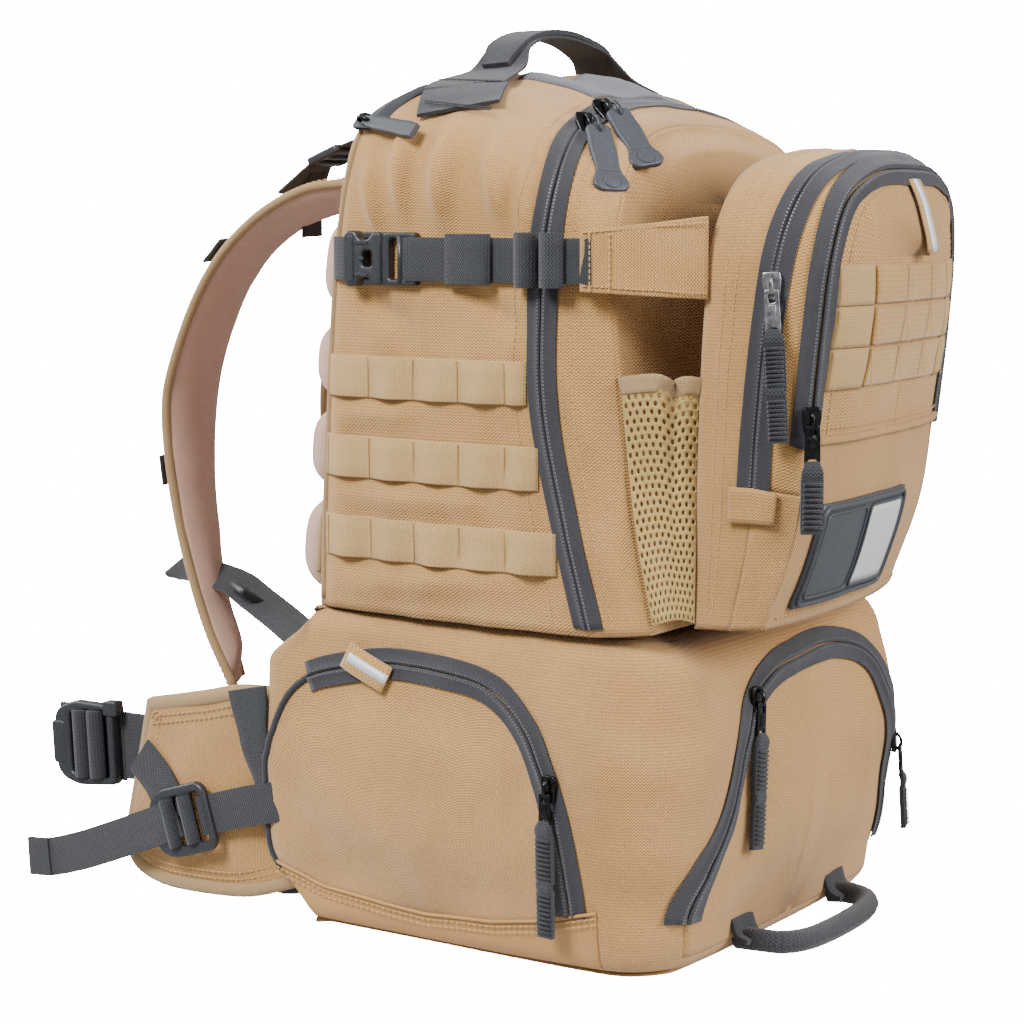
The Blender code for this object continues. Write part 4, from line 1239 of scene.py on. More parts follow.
def zip_pull(name, origin, down, out, slider_body, pull_body, webs=1, web_length=0.04, metal="metal",
             web_width=0.011, tab=0.022):
    """Slider, metal tab and one or two chained webbing pulls, hanging along down."""
    down, out = Vector(down).normalized(), Vector(out).normalized()
    across = down.cross(out).normalized()
    o = Vector(origin)
    body_plate = [(-0.0048, 0.0078), (0.0048, 0.0078), (0.0056, 0.003), (0.004, -0.0078), (-0.004, -0.0078),
                  (-0.0056, 0.003)]
    plate(name + "_slider", axes_frame(o + out * 0.0022, across, -down), body_plate, 0.0026, metal,
          slider_body, radius=0.0018, edge=0.0007)
    arc = [o + out * (0.0028 + 0.0042 * math.sin(math.pi * k / 8))
           + down * (0.0052 * math.cos(math.pi * k / 8)) for k in range(9)]
    rod(name + "_bridge", arc, 0.0011, metal, slider_body)
    top = o + out * 0.0058 + down * 0.002
    centre = top + down * (tab / 2)
    tab_outline = [(-0.004, tab / 2), (0.004, tab / 2), (0.0046, -tab * 0.35), (0.0036, -tab / 2),
                   (-0.0036, -tab / 2), (-0.0046, -tab * 0.35)]
    holes = (box_outline(0.0019, 0.0026, 0, tab / 2 - 0.0048),
             box_outline(0.0026, 0.0016, 0, -tab / 2 + 0.0034))
    plate(name + "_tab", axes_frame(centre, across, -down), tab_outline, 0.0019, metal, pull_body, holes,
          radius=0.0016, edge=0.0005)
    plate(name + "_tab_relief", axes_frame(centre + out * 0.0006 - down * 0.0004, across, -down),
          box_outline(0.0021, 0.0042), 0.0016, metal, pull_body, radius=0.0012, edge=0.0004)
    at = centre + down * (tab / 2 - 0.0034)
    for k in range(webs):
        web_pull(name + "_web_%d" % k, at, down, out, web_length, web_width * (1 - 0.06 * k), pull_body)
        at = at + down * (web_length - 0.004)
        if k < webs - 1:
            ring = [at + across * 0.0046 * math.cos(a) + down * (0.003 * math.sin(a)) + out * 0.0008
                    for a in (2 * math.pi * j / 12 for j in range(13))]
            rod(name + "_ring_%d" % k, ring, 0.0009, metal, pull_body)


def pull_nodes(slider, puller):
    """The CAD nodes that a pull's slider and first webbing stand for."""
    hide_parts(slider)
    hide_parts(puller)


def web_pull(name, start, down, out, length, width, body):
    """Doubled webbing tab with cross ribs, folded over a ring at its top."""
    points = [start + out * (0.0016 * math.sin(math.pi * 0.9 * min(1, k / 6))) + down * length * k / 24
              for k in range(25)]
    band(name, points, out, width, 0.0032, "webbing", body, widths=[0.62, 0.95, 1, 1, 1, 1, 1, 0.97])
    across = down.cross(out).normalized()
    bm = bmesh.new()
    for k in range(9):
        p = start + down * length * (0.3 + 0.075 * k) + out * 0.0033
        add_bar(bm, p - across * width * 0.44, p + across * width * 0.44, down, out, 0.00075, 0.0005)
    outward_faces(bm)
    finish_piece(name + "_ribs", bm, ["webbing"], body)


def bar_tack(bm, centre, along, across, up, length, width=0.0016):
    """Dense zigzag tack."""
    count = max(2, int(length / 0.0011))
    for k in range(count):
        p = centre + along * (length * ((k + 0.5) / count - 0.5)) + up * 0.0001
        add_bar(bm, p - across * width / 2, p + across * width / 2, along, up, 0.00042, 0.0004)


# ------------------------------------------------------------------ webbing on the body

def shell_place(y, z, side):
    """Shell parameters of a point on the side wall."""
    s = arch_s(ARCH_A, z, side)
    a, b = curve_at(ARCH_A, s), curve_at(ARCH_B, s)
    return s, (y - a.y) / (b.y - a.y)


def make_molle():
    tacks_y = (0.0835, 0.049, 0.015, -0.018, -0.05)
    for side, name in SIDES:
        bm_tacks = bmesh.new()
        for row, z in enumerate(PALS_Z):
            end_y = curve_at(ARCH_A, arch_s(ARCH_A, z, side)).y + 0.01
            stops = list(tacks_y) + [end_y]
            rows, ribs = [], 60
            for k in range(ribs + 1):
                y = 0.0865 + (end_y - 0.0865) * k / ribs
                slack = 0.0
                for one, two in zip(stops, stops[1:]):
                    if two <= y <= one:
                        slack = math.sin(math.pi * (one - y) / (one - two)) ** 2
                        slack *= 0.0026 + 0.0008 * math.sin(row * 2.1 + one * 90)
                lean = 0.001 * slack / 0.003
                across = []
                for v in (-0.5, -0.47, -0.2, 0.2, 0.47, 0.5):
                    zz = z + WEB_WIDTH * v
                    s, t = shell_place(y, zz, side)
                    p, n = SHELL.frame(s, min(t, 0.985), 0.0)
                    across.append(p + n * (0.0016 + slack - lean * v * 2
                                           - (0.0004 if abs(v) == 0.5 else 0)))
                rows.append(across)
            bm = grid_mesh(rows)
            orient(bm, SHELL_SIDE)
            obj = finish_piece("molle_row_%s_%d" % (name, row), bm, ["tan_webbing"], "pack",
                               thickness=0.0014)
            if row == 0:
                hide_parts("molle_" + name)
            for y in tacks_y:
                s, t = shell_place(y, z, side)
                p, n = SHELL.frame(s, min(t, 0.985), 0.0019)
                up = (UP - n * UP.dot(n)).normalized()
                bar_tack(bm_tacks, p, up, up.cross(n).normalized(), n, 0.0235)
        bars_piece("molle_tacks_" + name, bm_tacks, "tan_thread", "pack")


class Outward:
    """Stand-in surface that only tells which way is out."""

    def __init__(self, rule):
        self.matrix = None
        self.outward = rule


SHELL_SIDE = Outward(lambda p: Vector((math.copysign(1, p.x), 0, 0)))


def make_buckle(side, name):
    """Side-release buckle: waisted socket, prongs, ladder bars and the strap's folded end."""
    x = side * 0.1562
    out = Vector((side, 0, 0))
    front = Vector((0, -1, 0))
    half = 0.0165
    socket = [(-0.013, half - 0.003), (-0.01, half), (-0.004, half - 0.0005), (-0.001, half - 0.0055),
              (0.005, half - 0.0055), (0.0085, half - 0.001), (0.0145, half - 0.001)]
    outline = socket + [(u, -v) for u, v in reversed(socket)]
    m = axes_frame((x, 0.0485, STRAP_Z), front, UP)
    window = box_outline(0.0035, 0.0046, 0.0045, 0)
    body = plate("buckle_socket_" + name, m, outline, 0.0095, "plastic", "pack", (window,), radius=0.0022,
                 edge=0.0016)
    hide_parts("female_buckle_" + name)
    plate("buckle_socket_ridge_" + name, axes_frame((x + side * 0.0044, 0.0555, STRAP_Z), front, UP),
          box_outline(0.002, 0.0135), 0.0022, "plastic", "pack", radius=0.001, edge=0.0006)
    for k, dz in enumerate((0.0095, 0.0, -0.0095)):
        plate("buckle_socket_rib_%s_%d" % (name, k), axes_frame((x + side * 0.0046, 0.048, STRAP_Z + dz),
                                                                front, UP), box_outline(0.005
                if dz else 0.002, 0.0011), 0.0016, "plastic", "pack", radius=0.0006, edge=0.0004)
    frame_out = [(-0.0125, 0.0115), (-0.0095, half - 0.001), (0.0125, half - 0.001),
                 (0.0125, -half + 0.001), (-0.0095, -half + 0.001), (-0.0125, -0.0115)]
    slots = (box_outline(0.0028, half - 0.0045, -0.0035, 0), box_outline(0.0028, half - 0.0045, 0.0055, 0))
    m = axes_frame((x, 0.0225, STRAP_Z), front, UP)
    latch = plate("buckle_ladder_" + name, m, frame_out, 0.0062, "plastic", "strap_" + name, slots,
                  radius=0.0018, edge=0.0014)
    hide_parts("male_buckle_" + name)
    for k, dz in enumerate((half - 0.003, -half + 0.003)):
        plate("buckle_prong_%s_%d" % (name, k), axes_frame((x, 0.04, STRAP_Z + dz), front, UP),
              box_outline(0.0085, 0.002), 0.0052, "plastic", "strap_" + name, radius=0.0012, edge=0.001)
    rod("buckle_bar_" + name, [(x + side * 0.0022, 0.0208, STRAP_Z - half + 0.003),
                               (x + side * 0.0022, 0.0208, STRAP_Z + half - 0.003)], 0.0019, "plastic",
        "strap_" + name)
    band("buckle_anchor_" + name, [Vector((side * 0.1455, 0.079, STRAP_Z)),
                                   Vector((side * 0.1515, 0.0735, STRAP_Z)),
                                   Vector((side * 0.1545, 0.066, STRAP_Z)),
                                   Vector((side * 0.1555, 0.06, STRAP_Z))], out, WEB_WIDTH, 0.0022,
         "webbing", "pack", smooth_steps=14)


def make_strap(side, name):
    """Compression strap with its two folded keepers and the stitched end on the wing."""
    out = Vector((side, 0, 0))
    body = "strap_" + name
    x = side * 0.1564
    path = [(x, 0.0225, STRAP_Z), (x + side * 0.0022, 0.018, STRAP_Z), (x + side * 0.0004, 0.01, STRAP_Z),
            (x, -0.01, STRAP_Z), (x, -0.05, STRAP_Z), (x - side * 0.0002, -0.08, STRAP_Z),
            (x - side * 0.0012, -0.1085, STRAP_Z)]
    strap = band("strap_webbing_" + name, [Vector(p) for p in path], out, WEB_WIDTH, 0.0016, "webbing",
                 body, smooth_steps=60)
    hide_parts(body)
    fold = [(x + side * 0.0034, 0.017, STRAP_Z), (x + side * 0.003, 0.008, STRAP_Z),
            (x + side * 0.0022, -0.004, STRAP_Z), (x + side * 0.002, -0.012, STRAP_Z)]
    band("strap_fold_" + name, [Vector(p) for p in fold], out, WEB_WIDTH, 0.0014, "webbing", body,
         smooth_steps=14)
    bm = bmesh.new()
    for k, (start, end, bulge) in enumerate(((-0.012, -0.043, 0.003), (-0.061, -0.074, 0.0062),
                                             (-0.078, -0.092, 0.0058))):
        points, steps = [], 22
        for j in range(steps + 1):
            t = j / steps
            rise = 0.0022 + bulge * math.sin(math.pi * t) ** (0.45 if k else 0.25)
            points.append(Vector((x + side * rise, start + (end - start) * t, STRAP_Z + 0.0004)))
        band("strap_keeper_%s_%d" % (name, k), points, out, 0.031 if k else 0.029, 0.0016, "webbing", body)
        for y in (start, end):
            bar_tack(bm, Vector((x + side * 0.0034, y, STRAP_Z)), UP, BACK, out, 0.024)
    bars_piece("strap_tacks_" + name, bm, "black_thread", body)


def make_wing(side, name):
    """Tan wing from the pouch edge to the strap, doubled and box stitched."""
    rows, steps = [], 26
    root = POUCH_TURN @ Vector((side * 0.119, -0.15, 0.415))
    tip = Vector((side * 0.1555, -0.1015, STRAP_Z))
    out = Vector((side * 0.86, -0.5, 0)).normalized()
    for k in range(steps + 1):
        t = k / steps
        p = root.lerp(tip, t) + out * (0.005 * math.sin(math.pi * t))
        height = 0.046 - 0.012 * t
        row = []
        for v in (-0.5, -0.47, -0.3, -0.1, 0.1, 0.3, 0.47, 0.5):
            dip = wrinkle(p + UP * v * height, 40.0, 0.0016, seed=51.0)
            row.append(p + UP * v * height + out * (dip + 0.0012))
        rows.append(row)
    bm = grid_mesh(rows)
    orient(bm, SHELL_SIDE)
    wing = finish_piece("wing_fabric_" + name, bm, ["tan_fabric"], "wing_" + name, thickness=0.0026)
    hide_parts("wing_" + name)
    lines = []
    for v in (-0.43, 0.43):
        lines.append([(r[3] + UP * ((0.046 - 0.012 * i / steps) * v + 0.0046) + out * 0.0006, out)
                      for i, r in enumerate(rows)])
    for t in (0.8, 0.96):
        i = int(t * steps)
        lines.append([(rows[i][0].lerp(rows[i][-1], k / 8) + out * 0.0012, out) for k in range(9)])
    stitches("wing_stitch_" + name, lines, "wing_" + name, pitch=0.0034, length=0.0026)


def make_mesh_gusset(side, name):
    """Mesh pocket wall between the main panel and the pouch, with real holes and a bound top edge."""
    low, high = 0.2085, 0.343
    across_cells, up_cells = 10, 29

    def place(u, v):
        z = low + (high - low) * v + 0.003 * math.sin(math.pi * u)
        s_c, s_r = arch_s(ARCH_C, min(z, 0.47), side), arch_s(RING_R, min(z, 0.46), side)
        a = curve_at(ARCH_C, s_c) + Vector((side * 0.0004, -0.002, 0))
        b = POUCH_TURN @ curve_at(RING_R, s_r)
        p = a.lerp(b, u)
        p.z = z
        out = (Vector((side * 0.9, -0.44, 0))).normalized()
        pleat = math.exp(-((u - 0.66) / 0.1) ** 2)
        puff = math.sin(math.pi * u) * (0.0045 + 0.005 * v) + 0.0018 * math.sin(u * 7.0
                + v * 5.0) - 0.0075 * pleat * v
        return p + out * puff - UP * 0.0045 * pleat * v

    bm = bmesh.new()
    corners = [(0, 0), (0.5, 0), (1, 0), (1, 0.5), (1, 1), (0.5, 1), (0, 1), (0, 0.5)]
    for j in range(up_cells):
        odd = j % 2
        for i in range(across_cells + odd):
            def grid(u, v, i=i, j=j, odd=odd):
                return place(max(0.0, min(1.0, (i + u - 0.5 * odd) / across_cells)), (j + v) / up_cells)
            edge_cell = odd and i in (0, across_cells)
            if edge_cell:
                keep = (0.5, 1.0) if i == 0 else (0.0, 0.5)
                bm.faces.new([bm.verts.new(grid(u, v))
                              for u, v in ((keep[0], 0), (keep[1], 0), (keep[1], 1), (keep[0], 1))])
                continue
            outer = [grid(u, v) for u, v in corners]
            inner = [grid(0.5 + (u - 0.5) * (0.36 if v != 0.5 else 0.5),
                          0.5 + (v - 0.5) * (0.5 if u != 0.5 else 0.7)) for u, v in corners]
            verts_out = [bm.verts.new(p) for p in outer]
            verts_in = [bm.verts.new(p) for p in inner]
            for k in range(8):
                bm.faces.new((verts_out[k], verts_out[(k + 1) % 8], verts_in[(k + 1) % 8], verts_in[k]))
    bmesh.ops.remove_doubles(bm, verts=bm.verts, dist=0.0001)
    outward_faces(bm)
    obj = finish_piece("mesh_gusset_" + name, bm, ["mesh"], None, thickness=0.0009, offset=0)
    apply_modifiers(obj)
    place(0.05, 0.5)
    place(0.95, 0.5)
    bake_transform(obj)
    out = Vector((side * 0.9, -0.44, 0)).normalized()
    hem = band("mesh_hem_" + name, [place(k / 16, 1.0) + out * 0.0006 for k in range(17)], out, 0.01,
               0.0024, "binding", None)
    place(0.05, 0.5)
    place(0.95, 0.5)
    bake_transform(hem)
    backing = [[place(u / 8, v / 10) - out * (0.012 + 0.006 * math.sin(math.pi * u / 8)) for u in range(9)]
               for v in range(11)]
    bm = grid_mesh(backing)
    orient(bm, SHELL_SIDE)
    pocket = finish_piece("mesh_backing_" + name, bm, ["tan_fabric"], None, thickness=0.001)
    apply_modifiers(pocket)
    place(0.05, 0.5)
    place(0.95, 0.5)
    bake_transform(pocket)


def make_carry_handle():
    """Wide webbing loop: each foot lies on the shell, the grip between them is folded narrow."""
    feet = [(0.333, 0.52), (0.347, 0.555), (0.361, 0.59), (0.375, 0.625), (0.389, 0.66)]
    left, ups = [], []
    for s, t in feet:
        p, n = SHELL.frame(s, t, 0.0022)
        left.append(p)
        ups.append(n)
    left += vectors((-0.062, 0.018, 0.5265), (-0.046, 0.02, 0.54), (-0.023, 0.022, 0.547))
    ups += vectors((-0.6, 0, 0.8), (-0.55, 0, 0.83), (-0.15, 0, 0.99))
    points = left + [Vector((0, 0.022, 0.549))] + [Vector((-p.x, p.y, p.z)) for p in reversed(left)]
    ups = ups + [UP.copy()] + [Vector((-u.x, u.y, u.z)) for u in reversed(ups)]
    widths = [1.0, 1.0, 1.0, 1.0, 0.96, 0.78, 0.62, 0.54, 0.52, 0.54, 0.62, 0.78, 0.96, 1.0, 1.0, 1.0, 1.0]
    handle = band("carry_handle_webbing", points, ups, 0.05, 0.0022, "webbing", "pack", widths=widths,
                  smooth_steps=120)
    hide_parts("carry_handle")
    fold = [p + u * 0.003 for p, u in zip(points[5:12], ups[5:12])]
    band("carry_handle_fold", fold, ups[5:12], 0.026, 0.0034, "webbing", "pack",
         widths=[0.7, 1, 1, 1, 1, 1, 0.7], smooth_steps=60)
    for mirror, name in ((False, "left"), (True, "right")):
        bm = bmesh.new()
        for s, t in (feet[0], (0.337, 0.53), feet[-1]):
            p, n = SHELL.frame(1 - s if mirror else s, t, 0.0036)
            across = (BACK - n * BACK.dot(n)).normalized()
            bar_tack(bm, p, across, n.cross(across), n, 0.046, 0.0012)
        bars_piece("carry_handle_tacks_" + name, bm, "black_thread", "pack")


def make_main_pullers():
    """Two moulded rubber pulls, waisted in the middle and round at the lower end."""
    for name, top, bottom in (("left", Vector((-0.106, -0.08, 0.488)), Vector((-0.122, -0.101, 0.45))),
                              ("right", Vector((-0.083, -0.079, 0.497)), Vector((-0.094, -0.109, 0.464)))):
        down = (bottom - top).normalized()
        out = Vector((-0.5, -0.8, 0.33))
        out = (out - down * out.dot(down)).normalized()
        across = down.cross(out).normalized()
        length = (bottom - top).length
        half = [(0.005, 0.5), (0.0076, 0.46), (0.0084, 0.1), (0.0074, -0.2), (0.0108, -0.33),
                (0.0113, -0.42), (0.0074, -0.5)]
        outline = [(w, k * length) for w, k in half] + [(-w, k * length) for w, k in reversed(half)]
        m = axes_frame((top + bottom) / 2 + out * 0.003, across, -down)
        pull = plate("main_pull_" + name, m, outline, 0.004, "rubber", "main_puller_" + name, radius=0.003,
                     edge=0.0013)
        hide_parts("main_puller_" + name)
        inner = [(w * 0.68, k * length * 0.78 + 0.002) for w, k in half[1:5]]
        inner = inner + [(-w, v) for w, v in reversed(inner)]
        plate("main_pull_pad_" + name, axes_frame((top + bottom) / 2 + out * 0.0049, across, -down), inner,
              0.0009, "rubber", "main_puller_" + name, radius=0.002, edge=0.0003)
        disc = [(0.0052 * math.cos(a), 0.0052 * math.sin(a) - length * 0.36)
                for a in (2 * math.pi * k / 20 for k in range(20))]
        plate("main_pull_button_" + name, axes_frame((top + bottom) / 2 + out * 0.0051, across, -down),
              disc, 0.0012, "rubber", "main_puller_" + name, radius=0.001, edge=0.0004)
        loop = [top - down * 0.002 + out * (0.003 + 0.004 * math.sin(a))
                - down * (0.006 * math.cos(a) - 0.002) for a in (math.pi * 2 * k / 14 for k in range(15))]
        rod("main_pull_cord_" + name, loop, 0.0013, "plastic", "main_puller_" + name)
        zip_slider("main_slider_" + name, top + Vector((0.003, 0.009, 0.001)), down, out, "main_panel")


def zip_slider(name, origin, down, out, body):
    across = down.cross(out).normalized()
    body_plate = [(-0.0052, 0.0085), (0.0052, 0.0085), (0.0062, 0.003), (0.0044, -0.0085),
                  (-0.0044, -0.0085), (-0.0062, 0.003)]
    plate(name, axes_frame(origin + out * 0.0022, across, -down), body_plate, 0.003, "dark_metal", body,
          radius=0.0018, edge=0.0008)
    arc = [origin + out * (0.003 + 0.0044 * math.sin(math.pi * k / 8))
           + down * (0.0055 * math.cos(math.pi * k / 8)) for k in range(9)]
    rod(name + "_bridge", arc, 0.0012, "dark_metal", body)


# ------------------------------------------------------------------ harness

def foam_loft(name, near, far, inner_dir, thickness, body, node, steps=80, across=12):
    """Padded strap between two edge paths: fabric outside, padding inside, bound edges."""
    a_path, b_path = smooth_path(near, steps), smooth_path(far, steps)
    faces = {}
    frames = []
    for i in range(steps + 1):
        a, b = a_path[i], b_path[i]
        t = (a_path[min(i + 1, steps)] + b_path[min(i + 1, steps)] - a_path[max(i - 1, 0)]
             - b_path[max(i - 1, 0)]).normalized()
        n = t.cross(b - a).normalized()
        if n.dot(inner_dir(i / steps)) < 0:
            n.negate()
        frames.append((a, b, n, t))
    for label, sign, depth in (("inner", 1, thickness * 0.62), ("outer", -1, thickness * 0.38)):
        rows = []
        for i, (a, b, n, t) in enumerate(frames):
            end = smoothstep(0, 0.05, i / steps) * smoothstep(1, 0.95, i / steps)
            row = []
            for j in range(across + 1):
                u = j / across
                crown = (1 - abs(2 * u - 1) ** 3.0) * depth * end
                p = a.lerp(b, u)
                row.append(p + n * sign * (crown + 0.0012 + wrinkle(p, 45.0, 0.0009, seed=61.0)))
            rows.append(row)
        faces[label] = rows
    for label, mat, sign in (("inner", "padding", 1), ("outer", "tan_fabric", -1)):
        bm = grid_mesh(faces[label])
        face_towards(bm, frames[steps // 2][2] * sign)
        obj = finish_piece(name + "_" + label, bm, [mat], body, thickness=0.0014)
    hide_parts(node)
    rim = [(a, (a - b).normalized()) for a, b, _, _ in frames]
    other = [(b, (b - a).normalized()) for a, b, _, _ in frames]
    for label, line in (("near", rim), ("far", other)):
        flat_edge(name + "_binding_" + label, line, frames, 0.0042, 0.005, body)
    for label, line in (("near", rim), ("far", other)):
        row = [(p - edge * 0.0072 - n * (0.0026 + thickness * 0.14), -n)
               for (p, edge), (_, _, n, _) in zip(line, frames)]
        stitches(name + "_stitch_" + label, [row], body)
    return frames, faces


def flat_edge(name, line, frames, half_width, half_thick, body):
    """Folded binding tape round an edge: an oval rolled section."""
    rows = []
    for (p, edge), (_, _, n, _) in zip(line, frames):
        rows.append([p - edge * half_width * 0.5 + edge * math.cos(q) * half_width
                     + n * math.sin(q) * half_thick * 0.62
                     for q in (2 * math.pi * k / 12 for k in range(12))])
    bm = grid_mesh(rows, closed=True)
    close_ends(bm, 12)
    outward_faces(bm)
    finish_piece(name, bm, ["binding"], body)


NEAR_STRAP = ((-0.088, 0.104, 0.459), (-0.098, 0.143, 0.454), (-0.103, 0.184, 0.432),
              (-0.105, 0.219, 0.396), (-0.106, 0.246, 0.343), (-0.106, 0.254, 0.303),
              (-0.106, 0.244, 0.237), (-0.106, 0.223, 0.175), (-0.104, 0.2, 0.13))
FAR_STRAP = ((-0.044, 0.11, 0.452), (-0.042, 0.15, 0.445), (-0.041, 0.196, 0.43), (-0.041, 0.232, 0.397),
             (-0.042, 0.257, 0.348), (-0.044, 0.266, 0.3), (-0.05, 0.262, 0.243), (-0.06, 0.248, 0.186),
             (-0.076, 0.216, 0.132))


def mirror_points(points, side):
    return [Vector((p[0] * -side, p[1], p[2])) for p in points]


def make_shoulder(side, name):
    body = "shoulder_" + name
    near, far = mirror_points(NEAR_STRAP, side), mirror_points(FAR_STRAP, side)
    if side > 0:
        near, far = ([Vector((p.x, 0.104 + (p.y - 0.104) * 0.84, p.z)) for p in path]
                     for path in (near, far))

    def toward_wearer(t):
        return Vector((side * 0.15, -1, -0.9 + 1.8 * t))

    frames, _ = foam_loft("shoulder_" + name, near, far, toward_wearer, 0.015, body, body, steps=90)
    web = sided(side, (0.076, 0.27, 0.201), (0.079, 0.245, 0.2), (0.084, 0.2135, 0.196),
                (0.092, 0.188, 0.188), (0.101, 0.16, 0.179), (0.113, 0.132, 0.171), (0.123, 0.11, 0.166))
    lower_web = band("lower_web_%s_strap" % name, web, Vector((side * 0.45, -0.3, 0.85)), WEB_WIDTH, 0.0018,
                     "webbing", body, smooth_steps=60)
    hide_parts("lower_web_" + name)
    plate("lower_lock_" + name, axes_frame((side * 0.0905, 0.193, 0.189), (1, 0.35 * side, 0.65 * side),
                                           (side * 0.3, -1, -0.3)), box_outline(0.0165, 0.011), 0.0046,
          "plastic", body, (box_outline(0.0128, 0.0024, 0, 0.0048), box_outline(0.0128, 0.0024, 0, -0.004)),
          radius=0.003, edge=0.0012)
    end = [web[0] + Vector((0, 0.002 - 0.007 * k, 0.0012 * (1 - k) + 0.0008)) for k in range(3)]
    band("lower_tail_" + name, end, Vector((side * 0.45, -0.3, 0.85)), 0.0262, 0.003, "webbing", body,
         smooth_steps=8)
    lifter = sided(side, (0.062, 0.066, 0.493), (0.062, 0.09, 0.4905), (0.062, 0.113, 0.4865),
                   (0.062, 0.136, 0.48))
    piece = band("lifter_web_%s_strap" % name, lifter, UP, WEB_WIDTH, 0.0018, "webbing", None,
                 smooth_steps=30)
    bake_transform(piece)
    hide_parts("lifter_web_" + name)
    tilt = Vector((0, 1, -0.38))
    lock = plate("lifter_lock_" + name, axes_frame((side * 0.062, 0.142, 0.476), (1, 0, 0), tilt),
                 box_outline(0.017, 0.013), 0.0052, "plastic", body,
                 (box_outline(0.0132, 0.0027, 0, 0.005), box_outline(0.0132, 0.0027, 0, -0.0046)),
                 radius=0.003, edge=0.0013)
    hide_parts("lifter_buckle_" + name)
    foot = sided(side, (0.062, 0.149, 0.4745), (0.063, 0.164, 0.464), (0.065, 0.18, 0.452))
    band("lifter_anchor_" + name, foot, Vector((0, 0.5, 1)), WEB_WIDTH, 0.002, "webbing", body,
         smooth_steps=16)
    free = sided(side, (0.061, 0.144, 0.479), (0.058, 0.156, 0.473), (0.055, 0.168, 0.45),
                 (0.054, 0.17, 0.424))
    band("lifter_tail_" + name, free, Vector((0, 1, 0.4)), 0.02, 0.0016, "webbing", body, smooth_steps=24)
    for j, frame_index in enumerate((30, 62)):
        a, b, n, t = frames[frame_index]
        across = (b - a).normalized()
        points = [a + across * (0.004 + ((b - a).length - 0.008) * q / 16)
                  - n * (0.008 + 0.0014 * math.sin(math.pi * q / 16)) for q in range(17)]
        band("shoulder_loop_%s_%d" % (name, j), points, -n, 0.02, 0.0016, "webbing", body)
        if j == 0:
            bm = bmesh.new()
            for q in (3, 13):
                bar_tack(bm, points[q] - n * 0.0008, t, across, -n, 0.018)
            bars_piece("shoulder_tacks_" + name, bm, "black_thread", body)


HIP_TOP = ((-0.128, 0.096, 0.13), (-0.14, 0.125, 0.14), (-0.148, 0.152, 0.142), (-0.151, 0.18, 0.136),
           (-0.1495, 0.208, 0.13), (-0.148, 0.232, 0.125))
HIP_LOW = ((-0.126, 0.096, 0.026), (-0.139, 0.121, 0.018), (-0.147, 0.152, 0.009), (-0.1505, 0.19, 0.0065),
           (-0.149, 0.224, 0.007), (-0.1485, 0.246, 0.015), (-0.148, 0.254, 0.032))


def make_hip(side, name):
    body = "hip_wing_" + name
    top, low = mirror_points(HIP_TOP, side), mirror_points(HIP_LOW, side)
    steps, across = 60, 16
    a_path, b_path = smooth_path(top, steps), smooth_path(low, steps)
    outer, inner = [], []
    for i in range(steps + 1):
        a, b = a_path[i], b_path[i]
        row_out, row_in = [], []
        for j in range(across + 1):
            u = j / across
            p = a.lerp(b, u)
            crown = (1 - abs(2 * u - 1) ** 3.2) * smoothstep(1.0, 0.93, i / steps)
            wob = wrinkle(p, 30.0, 0.0022, seed=71.0)
            row_out.append(p + Vector((side * (0.0045 * crown + 0.0012 + wob), 0, 0)))
            row_in.append(p - Vector((side * (0.012 * crown * smoothstep(0, 0.08, i / steps) + 0.0012), 0,
                                      0)))
        outer.append(row_out)
        inner.append(row_in)
    for label, rows, mat, way in (("outer", outer, "tan_fabric", 1), ("inner", inner, "padding", -1)):
        bm = grid_mesh(rows)
        orient(bm, Outward(lambda p, way=way: Vector((side * way, 0, 0))))
        obj = finish_piece("hip_wing_%s_%s" % (name, label), bm, [mat], body, thickness=0.0014)
    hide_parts(body)
    out = Vector((side, 0, 0))
    ring, inner_ring = ([row[0] for row in rows] + rows[-1][1:] + [row[-1] for row in rows[-2::-1]]
                        for rows in (outer, inner))
    centre = Vector((side * 0.15, 0.17, 0.07))
    line = [(p.lerp(q, 0.5), out) for p, q in zip(ring, inner_ring)]
    rim = []
    for (p, n), t in zip(line, tangents(line)):
        edge = t.cross(n).normalized()
        if edge.dot(p - centre) < 0:
            edge.negate()
        rim.append((p, n, edge))
    rows = [[p - edge * 0.0028 + edge * math.cos(q) * 0.0055 + n * math.sin(q) * 0.0042
             for q in (2 * math.pi * k / 12 for k in range(12))] for p, n, edge in rim]
    bm = grid_mesh(rows, closed=True)
    outward_faces(bm)
    finish_piece("hip_binding_" + name, bm, ["binding"], body)
    for k, (inset, rise) in enumerate(((0.01, 0.0046), (0.0145, 0.0056))):
        row = [(p - edge * inset + out * rise, out) for p, _, edge in rim]
        stitches("hip_stitch_%s_%d" % (name, k), [row[4:-4]], body)
    make_hip_buckle(side, name, out)
    make_stabiliser(side, name, out)
    band("hip_wedge_" + name, sided(side, (0.156, 0.131, 0.078), (0.158, 0.137, 0.112),
                                    (0.156, 0.144, 0.144)), out, 0.028, 0.0022, "webbing", body,
         smooth_steps=24, widths=[0.35, 0.8, 1.1])
    curve = sided(side, (0.118, 0.108, 0.04), (0.124, 0.124, 0.022), (0.12, 0.15, 0.015),
                  (0.105, 0.17, 0.018))
    band("hip_under_web_" + name, curve, out, 0.024, 0.0022, "webbing", "pack", smooth_steps=24)


